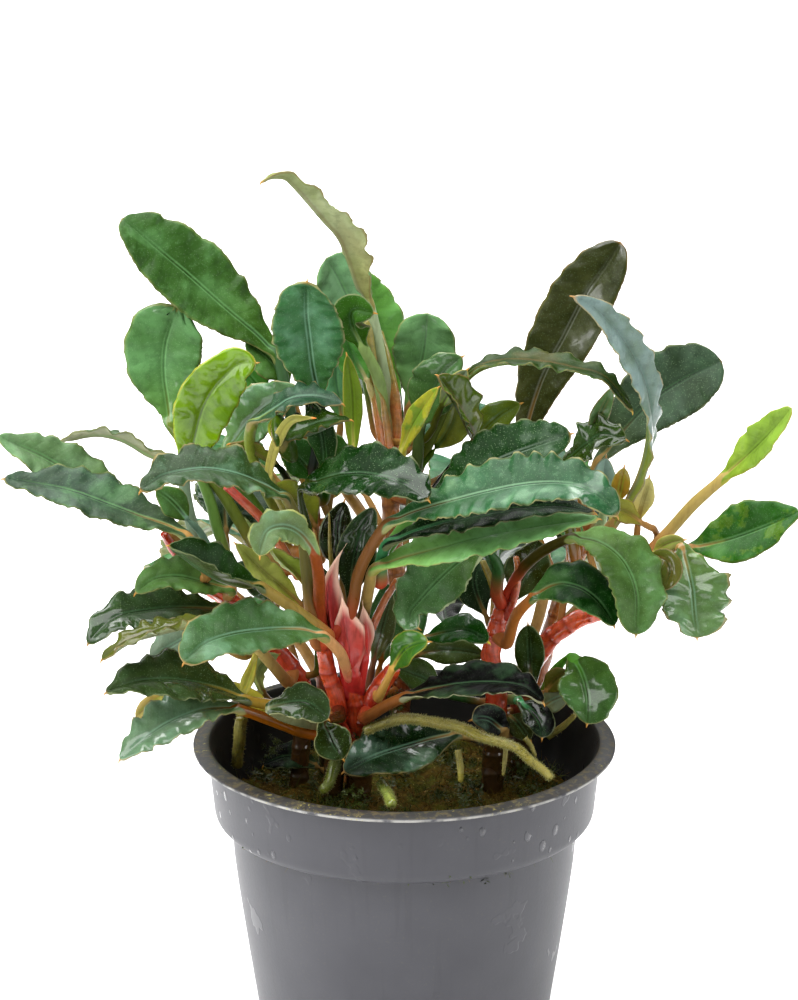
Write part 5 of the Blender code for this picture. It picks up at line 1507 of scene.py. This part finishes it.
# %% A tree that scatters copies
def scatter_tree():
    """Copies on a carrier's faces, each turned, leaned and sized at random."""
    tree = bpy.data.node_groups.new("Scatter", "GeometryNodeTree")
    face = tree.interface
    face.new_socket("Geometry", in_out="INPUT", socket_type="NodeSocketGeometry")
    for label, kind in (("Copy", "Object"), ("Density", "Float"), ("Seed", "Int"), ("Smallest", "Float"),
                        ("Largest", "Float"), ("Lean", "Float"), ("Finish", "Material")):
        face.new_socket(label, in_out="INPUT", socket_type="NodeSocket" + kind)
    face.new_socket("Geometry", in_out="OUTPUT", socket_type="NodeSocketGeometry")
    given = tree.nodes.new("NodeGroupInput").outputs
    wanted = tree.nodes.new("NodeGroupOutput").inputs

    net = Net(tree)
    cover = net.node("GeometryNodeInputNamedAttribute", {"Name": "cover"}, out="Attribute", data_type="FLOAT")
    density = net.times(cover, given["Density"])
    points = net.node("GeometryNodeDistributePointsOnFaces", {
        "Mesh": given["Geometry"], "Density": density, "Seed": given["Seed"]}, out="Points")
    back = net.times(given["Lean"], -1.0)
    low = net.node("ShaderNodeCombineXYZ", {0: back, 1: back, 2: -math.pi})
    high = net.node("ShaderNodeCombineXYZ", {0: given["Lean"], 1: given["Lean"], 2: math.pi})
    turn = net.node("FunctionNodeRandomValue", {0: low, 1: high, "Seed": given["Seed"]},
                    data_type="FLOAT_VECTOR")
    spin = net.node("FunctionNodeEulerToRotation", {0: turn})
    lean = net.node("FunctionNodeRotateRotation", {
        "Rotation": points.node.outputs["Rotation"], "Rotate By": spin}, rotation_space="LOCAL")
    size = net.node("FunctionNodeRandomValue", {
        2: given["Smallest"], 3: given["Largest"], "Seed": given["Seed"]}, out=1, data_type="FLOAT")
    copy = net.node("GeometryNodeObjectInfo", {"Object": given["Copy"]}, out="Geometry")
    copies = net.node("GeometryNodeInstanceOnPoints", {
        "Points": points, "Instance": copy, "Rotation": lean, "Scale": size})
    real = net.node("GeometryNodeRealizeInstances", {0: copies})
    dressed = net.node("GeometryNodeSetMaterial", {"Geometry": real, "Material": given["Finish"]})
    net.put(wanted[0], dressed)
    return tree


SCATTER = scatter_tree()
SCATTER_INPUTS = {item.name: item.identifier for item in SCATTER.interface.items_tree
                  if item.in_out == "INPUT"}


def scatter(name, carrier, copy, finish, density, seed, smallest=0.7, largest=1.2, lean=0.4, cover=None):
    """A plain mesh of copies over the carrier; density is in copies per square millimetre."""
    mesh = carrier.data.copy()
    helper = bpy.data.objects.new(name + "_carrier", mesh)
    bpy.context.collection.objects.link(helper)
    cover = np.ones(len(mesh.vertices)) if cover is None else cover
    mesh.attributes.new("cover", "FLOAT", "POINT").data.foreach_set("value", np.asarray(cover, np.float32))
    grower = helper.modifiers.new("grow", "NODES")
    grower.node_group = SCATTER
    values = {"Copy": copy, "Density": density / MM ** 2, "Seed": seed, "Smallest": smallest,
              "Largest": largest, "Lean": lean, "Finish": finish}
    for key, value in values.items():
        grower[SCATTER_INPUTS[key]] = value
    depsgraph = bpy.context.evaluated_depsgraph_get()
    result = bpy.data.meshes.new_from_object(helper.evaluated_get(depsgraph), depsgraph=depsgraph)
    bpy.data.objects.remove(helper, do_unlink=True)
    result.name = name
    made = bpy.data.objects.new(name, result)
    bpy.context.collection.objects.link(made)
    return made


print("what scatters:", list(SCATTER_INPUTS))

# %% [markdown]
# ## Hairs on the roots
# A root hair is about a quarter of a millimetre long and thinner than a thread. One bent, tapered hair
# with four sides is enough, because nobody sees its corners. It is scattered over each root, and the
# copy that was the model for them all is removed.

# %% Hairs on the roots
def hair_copy(name, length, radius, bend, finish, sides=4):
    """A tapered, bent hair in millimetres that stands on its own foot."""
    turn = np.linspace(0, 2 * np.pi, sides, endpoint=False)
    rings = []
    for share in (0.0, 0.35, 0.7, 1.0):
        thick = radius * (1 - 0.8 * share)
        x = bend * share ** 2 + thick * np.cos(turn)
        rings.append(np.stack([x, thick * np.sin(turn), np.full(sides, length * share)], axis=-1))
    return closed_skin(name, np.array(rings), finish)


hair_finish, net, shader = new_material("root_hair")
hair_colour = net.mix(net.noise(700.0), colour(178, 174, 112), colour(132, 130, 62))
net.fill(shader, {"Base Color": hair_colour, "Roughness": 0.5})
hair = hair_copy("hair_copy", 0.24, 0.03, 0.08, hair_finish)
for number, (name, tube) in enumerate(root_tubes.items()):
    density = ROOTS[name]["hairs"]
    hairs = scatter(name + "_hairs", tube, hair, hair_finish, density, 30 + number, 0.5, 1.3, 0.5)
    ready(hairs, "root_olive")
    print(name, "has", len(hairs.data.polygons), "faces of hair")
bpy.data.objects.remove(hair, do_unlink=True)

# %% [markdown]
# ## Growing wool
# The pot is packed with mineral wool. Its top is brown and lumpy from algae and old moss. The skin is a
# turned plug: rings that run up the inside of the pot and then in to the middle, where three sizes of
# noise raise them into lumps.

# %% The wool's skin
RIM = 27.5
WALL = 1.1
CONE_IN = 4.8
NECK_IN = 2.6
LIP_IN = 1.9
STEP_HEIGHT = 39.2
POT_HEIGHT = 50.0
LIP_DEPTH = 0.8
BASE = 17.5
WOOL_SIDES = 150
WOOL_RINGS = 62


def ring_of(radius, height, sides):
    turn = np.linspace(0, 2 * np.pi, sides, endpoint=False)
    return np.stack([radius * np.cos(turn), radius * np.sin(turn), np.full(sides, height)], axis=-1)


def lumps_at(spot):
    return 1.1 * field.noise(spot * 0.22) + 0.55 * field.noise(spot * 0.7) + 0.25 * field.noise(spot * 2.0)


def make_wool(finish):
    foot = 1.8
    wall = [(0.4, foot), (BASE - 1.8, foot), (BASE + 2.5, STEP_HEIGHT - 1.0),
            (RIM - NECK_IN - 2.1, GROUND_HEIGHT - 1.4)]
    rings = [ring_of(radius, height, WOOL_SIDES) for radius, height in wall]
    for radius in np.linspace(RIM - NECK_IN - 2.6, 0.3, WOOL_RINGS):
        ring = ring_of(radius, GROUND_HEIGHT - 0.3, WOOL_SIDES)
        for point in ring:
            point[2] += lumps_at(Vector(point)) - 0.5 * (radius / 21) ** 4
        rings.append(ring)
    return closed_skin("wool_top", np.array(rings), finish)


wool_finish, net, shader = new_material("wool_moss")
patch = net.step(net.noise(240.0, 4.0, rough=0.6), 0.44, 0.58)
fleck = net.step(net.noise(1500.0, 4.0, rough=0.7), 0.45, 0.62)
tint = net.mix(patch, colour(92, 72, 24), colour(78, 78, 22))
tint = net.mix(net.times(fleck, 0.55), tint, colour(24, 18, 10))
tint = net.mix(net.step(net.noise(2600.0), 0.64, 0.70), tint, colour(150, 136, 84))
net.fill(shader, {
    "Base Color": tint, "Roughness": net.spread(net.noise(500.0), 0.6, 0.95), "Specular IOR Level": 0.05,
    "Normal": net.bump(net.noise(1100.0, 5.0, rough=0.7), 0.0006, 0.9)})
wool = ready(make_wool(wool_finish), "growing_wool", "growing_wool")
wool_points = np.array([v.co for v in wool.data.vertices]) / MM
print("the wool's top reaches", round(float(wool_points[:, 2].max()), 2), "mm")

# %% [markdown]
# ## Loose fibres
# Mineral wool frays. Its loose fibres are bent threads up to 2 mm long that lie almost flat, so they lean
# much further than the root hairs do. They grow only on the top, and not at its very middle, where the
# rings of the skin close.

# %% Fibres on the wool
from_axis = np.hypot(wool_points[:, 0], wool_points[:, 1])
on_top = (wool_points[:, 2] > GROUND_HEIGHT - 2.5) & (from_axis > 0.35)
fibre_finish, net, shader = new_material("wool_fibre")
patch = net.step(net.noise(300.0, 1.0), 0.4, 0.6)
net.fill(shader, {"Base Color": net.mix(patch, colour(104, 78, 30), colour(76, 84, 26)), "Roughness": 0.6,
                  "Specular IOR Level": 0.15})
fibre = hair_copy("fibre_copy", 1.7, 0.06, 0.9, fibre_finish)
fibres = scatter("wool_fibres", wool, fibre, fibre_finish, 1.3, 3, 0.4, 1.3, 1.25, on_top)
ready(fibres, "growing_wool")
bpy.data.objects.remove(fibre, do_unlink=True)
print("faces of fibre:", len(fibres.data.polygons))

# %% [markdown]
# ## Moss
# Moss covers about half of the wool, in patches, and stands in tufts on the crown and on the roots. One
# sprig is a short column of pointed leaflets, each turned 2.4 radians from the one below, as in many
# mosses. Noise says where the patches are; a tuft is sprigs scattered over a small ball.

# %% Moss on the wool and in tufts
LEAFLETS = 9
LEAFLET_TURN = 2.4
TUFTS = dict(
    tuft_crown=((390, 692), -3.0, 1.5), tuft_crown_low=((398, 714), -5.5, 1.2),
    tuft_left=((272, 745), 1.0, 1.6), tuft_front=((355, 740), -3.5, 1.6),
    tuft_root=((353, 797), -12.0, 1.8), tuft_root_2=((372, 728), -6.5, 1.0),
    tuft_back=((440, 740), 4.0, 2.2), tuft_right=((520, 765), 2.0, 2.0))


def sprig_copy(name, finish):
    """A sprig of moss in millimetres; each leaflet is a flat pyramid on five points."""
    random = np.random.default_rng(5)
    points, faces = [], []
    for k in range(LEAFLETS):
        turn = LEAFLET_TURN * k
        out = Vector((math.cos(turn), math.sin(turn), 0.0))
        side = Vector((-out.y, out.x, 0.0)) * 0.11
        foot = Vector((0, 0, 0.12 + 0.14 * k))
        middle = foot + out * 0.28 + Vector((0, 0, 0.12))
        tip = foot + out * random.uniform(0.5, 0.7) + Vector((0, 0, 0.22))
        base = len(points)
        points += [foot, middle + side, tip, middle - side, middle + Vector((0, 0, -0.05))]
        faces += [(base + a, base + b, base + c) for a, b, c in (
            (3, 1, 0), (3, 2, 1), (1, 4, 0), (4, 3, 0), (1, 2, 4), (2, 3, 4))]
    mesh = bpy.data.meshes.new(name)
    mesh.from_pydata([tuple(p * MM) for p in points], [], faces)
    mesh.materials.append(finish)
    made = bpy.data.objects.new(name, mesh)
    bpy.context.collection.objects.link(made)
    return made


def is_mossy(point):
    return field.noise(Vector(point) * 0.16 + Vector((3, 1, 0))) > -0.05


moss_finish, net, shader = new_material("moss_leaf")
net.fill(shader, {"Base Color": net.mix(net.noise(350.0), colour(30, 44, 12), colour(66, 76, 24)),
                  "Roughness": 0.4, "Specular IOR Level": 0.2})
sprig = sprig_copy("sprig_copy", moss_finish)
mossy = [float(flag and is_mossy(point)) for flag, point in zip(on_top, wool_points)]
moss = scatter("moss_on_wool", wool, sprig, moss_finish, 0.75, 4, 0.6, 1.5, 0.9, mossy)
ready(moss, "growing_wool")
for number, (name, (at, back, size)) in enumerate(TUFTS.items()):
    middle = np.array([tuple(seen(at, back))])
    turns = np.linspace(0, np.pi, 7)[1:-1]
    ball = np.array([ring_of(size * 0.45 * math.sin(t), -size * 0.45 * math.cos(t), 8) for t in turns])
    core = closed_skin(name + "_core", ball + middle, moss_finish)
    tuft = scatter(name, core, sprig, moss_finish, 5.0 / size, 60 + number, 0.4, 0.9, 0.7)
    bpy.data.objects.remove(core, do_unlink=True)
    ready(tuft, "growing_wool")
bpy.data.objects.remove(sprig, do_unlink=True)
print("faces of moss on the wool:", len(moss.data.polygons), "tufts:", len(TUFTS))

# %% [markdown]
# ## Pot
# The pot is thin moulded plastic: a cone, a rounded step, a short collar and a flat lip. Its profile is
# turned finely. Moulded corners are never sharp, so each corner of the profile is cut twice over. The
# skin notes which points lie inside, because the inside has a finish of its own.

# %% The pot's skin
POT_SIDES = 192
STEP_RIM = RIM - CONE_IN
NECK_RIM = RIM - NECK_IN
LIP_FOOT = RIM - LIP_IN
LIP_UNDER = POT_HEIGHT - LIP_DEPTH


def soften(profile, rounds=2):
    """Cuts each corner of a profile twice over, so that it turns softly."""
    for _ in range(rounds):
        cut = [profile[0]]
        for a, b in zip(profile[:-1], profile[1:]):
            cut += [a * 0.75 + b * 0.25, a * 0.25 + b * 0.75]
        profile = cut + [profile[-1]]
    return profile


def make_pot(finish):
    outside = [(0.3, 0.0), (BASE - 0.8, 0.0), (BASE - 0.1, 0.15), (BASE, 0.8), (BASE + 0.4, 4.0),
               (STEP_RIM - 0.7, STEP_HEIGHT - 8.0), (STEP_RIM - 0.1, STEP_HEIGHT - 1.0),
               (STEP_RIM - 0.05, STEP_HEIGHT - 0.15), (STEP_RIM + 0.15, STEP_HEIGHT + 0.1),
               (NECK_RIM - 0.9, STEP_HEIGHT + 0.35), (NECK_RIM - 0.15, STEP_HEIGHT + 1.1),
               (NECK_RIM, STEP_HEIGHT + 2.6), (LIP_FOOT - 0.05, LIP_UNDER - 1.0),
               (LIP_FOOT, LIP_UNDER - 0.1), (LIP_FOOT + 0.2, LIP_UNDER), (RIM - 0.15, LIP_UNDER + 0.02),
               (RIM, LIP_UNDER + 0.12), (RIM, POT_HEIGHT - 0.45), (RIM - 0.2, POT_HEIGHT - 0.32),
               (RIM - 1.2, POT_HEIGHT - 0.08)]
    inside = [(RIM - 1.9, POT_HEIGHT), (RIM - 2.2, POT_HEIGHT - 0.1), (RIM - 2.5, POT_HEIGHT - 0.6),
              (LIP_FOOT - WALL, POT_HEIGHT - 2.4), (NECK_RIM - WALL, STEP_HEIGHT + 2.6),
              (STEP_RIM - WALL, STEP_HEIGHT + 0.6), (STEP_RIM - WALL - 0.2, STEP_HEIGHT - 2),
              (BASE - WALL, 1.9), (BASE - WALL - 0.5, 1.5), (0.3, 1.5)]
    profile = soften([np.array(p) for p in outside + inside])
    crest = int(np.argmax([p[1] for p in profile]))
    rings = np.array([ring_of(r, z, POT_SIDES) for r, z in profile])
    within = np.array([ease(i, crest, crest + 4) for i in range(len(profile))])[:, None]
    return closed_skin("pot_skin", rings, finish, {"pot_inside": within})


# %% [markdown]
# ## The pot's finish
# Outside the plastic is grey and satin, with faint streaks down its side. A whitish line of lime follows
# the lip's lower edge. The top of the lip carries painted shade, darker toward the front, with silt and
# crumbs of moss on it, and the inside is black with dirt and painted shade. Heights, distances from the
# axis and, for the lip's shade, the distance to the front say where each of them lies.

# %% The pot's colours
pot_finish, net, shader = new_material("pot_grey")
place = net.place()
x, y, z = net.parts(place)


def above(low, high):
    """From 0 at a height in millimetres to 1 at another one."""
    return net.step(z, low * MM, high * MM)


turn = net.math("ARCTAN2", x, y)
inside = net.attribute("pot_inside")
broad = net.noise(120.0, 3.0)
fine = net.noise(2600.0)
grey = net.mix(broad, colour(48, 48, 53), colour(62, 62, 67))
around = net.node("ShaderNodeCombineXYZ", {0: net.times(turn, 0.025), 1: z, 2: 0.0})
streak = net.noise(700.0, 3.0, where=net.stretched(around, (1.0, 0.10, 1.0)))
grey = net.shade(net.times(net.step(streak, 0.46, 0.30), 0.3), grey, 0.7)
radius = net.math("POWER", net.plus(net.math("POWER", x, 2.0), net.math("POWER", y, 2.0)), 0.5)
lime_luck = net.step(net.noise(420.0, 4.0, where=around), 0.36, 0.56)
lip = net.times(above(49.65, 49.5), above(49.1, 49.2))
lime = net.times(net.times(lip, lime_luck), net.step(radius, 0.0270, 0.0273))
grey = net.mix(net.times(lime, 0.5), grey, colour(190, 188, 180))
rim_top = net.times(above(49.4, 49.6), net.step(radius, 0.0275, 0.0272))
# Painted shade on the top of the lip, darker toward the front.
shaded = net.times(rim_top, net.spread(net.step(y, -0.006, -0.020), 0.40, 0.88))
grey = net.mix(shaded, grey, colour(26, 25, 24))
silt = net.times(net.step(net.noise(900.0, 4.0, rough=0.7), 0.50, 0.60), rim_top)
grey = net.mix(net.times(silt, 0.6), grey, colour(86, 76, 46))
crumbs = net.times(net.step(net.noise(2400.0, 3.0, rough=0.7), 0.60, 0.66), net.step(broad, 0.46, 0.56))
crumbs = net.times(crumbs, net.spread(above(48.6, 49.6), 0.03, 0.9))
grey = net.mix(crumbs, grey, colour(150, 142, 66))
# The inside is dirt and painted shade: black to near black.
inside_dirt_and_shade = net.mix(net.noise(400.0, 3.0), colour(3, 3, 3), colour(18, 17, 12))
net.put(shader["Base Color"], net.mix(inside, grey, inside_dirt_and_shade))
print("nodes for the pot's colour:", len(net.tree.nodes))

# %% [markdown]
# ## Water on the pot
# The step is wet with small glossy beads. They are a finish, not forms: each bead is the rounded spot in
# a cell of a cell noise, kept only where groups of beads may be, smooth and a little raised.

# %% Beads and films of water on the pot
BEAD_CELLS = 560.0
flattened = net.stretched(place, (1.0, 1.0, 0.72))
near = net.spots(BEAD_CELLS, where=flattened)
size = net.spread(net.spots(BEAD_CELLS, where=flattened, out="Color"), -0.10, 0.42)
bead = net.math("SUBTRACT", 1.0, net.math("DIVIDE", near, net.larger(size, 0.02)), clamp=True)
left = net.step(x, -0.0135, -0.0165)
right = net.times(net.step(x, 0.007, 0.010), net.step(x, 0.0225, 0.0205))
groups = net.larger(net.larger(left, right), net.step(broad, 0.56, 0.62))
groups = net.times(groups, above(39.5, 41.0))
groups = net.times(groups, above(49.0, 48.6))
bead = net.times(bead, groups)
film = net.step(net.noise(150.0, 3.0, rough=0.6), 0.63, 0.66)
smooth = net.larger(net.times(film, 0.6), net.step(bead, 0.0, 0.2))
rough = net.blend(smooth, net.spread(fine, 0.40, 0.48), 0.20)
rough = net.larger(rough, net.times(inside, 0.8))
coat = net.times(net.step(bead, 0.0, 0.2), 0.3)
relief = net.plus(net.times(film, 0.15), net.times(fine, 0.04))
relief = net.plus(relief, net.math("POWER", bead, 0.5))
net.fill(shader, {"Roughness": rough, "Coat Weight": coat, "Coat Roughness": 0.05,
                  "Specular IOR Level": 0.35, "Normal": net.bump(relief, 0.0003, 0.9)})
pot = ready(make_pot(pot_finish), "pot_plastic", "pot")
print("faces of the pot:", len(pot.data.polygons))

# %% [markdown] The fibres and the wavy margins reach a little past the solid model's box.
# The dressed plant has to fill the same box as the solid model, apart from fibres and wavy margins.
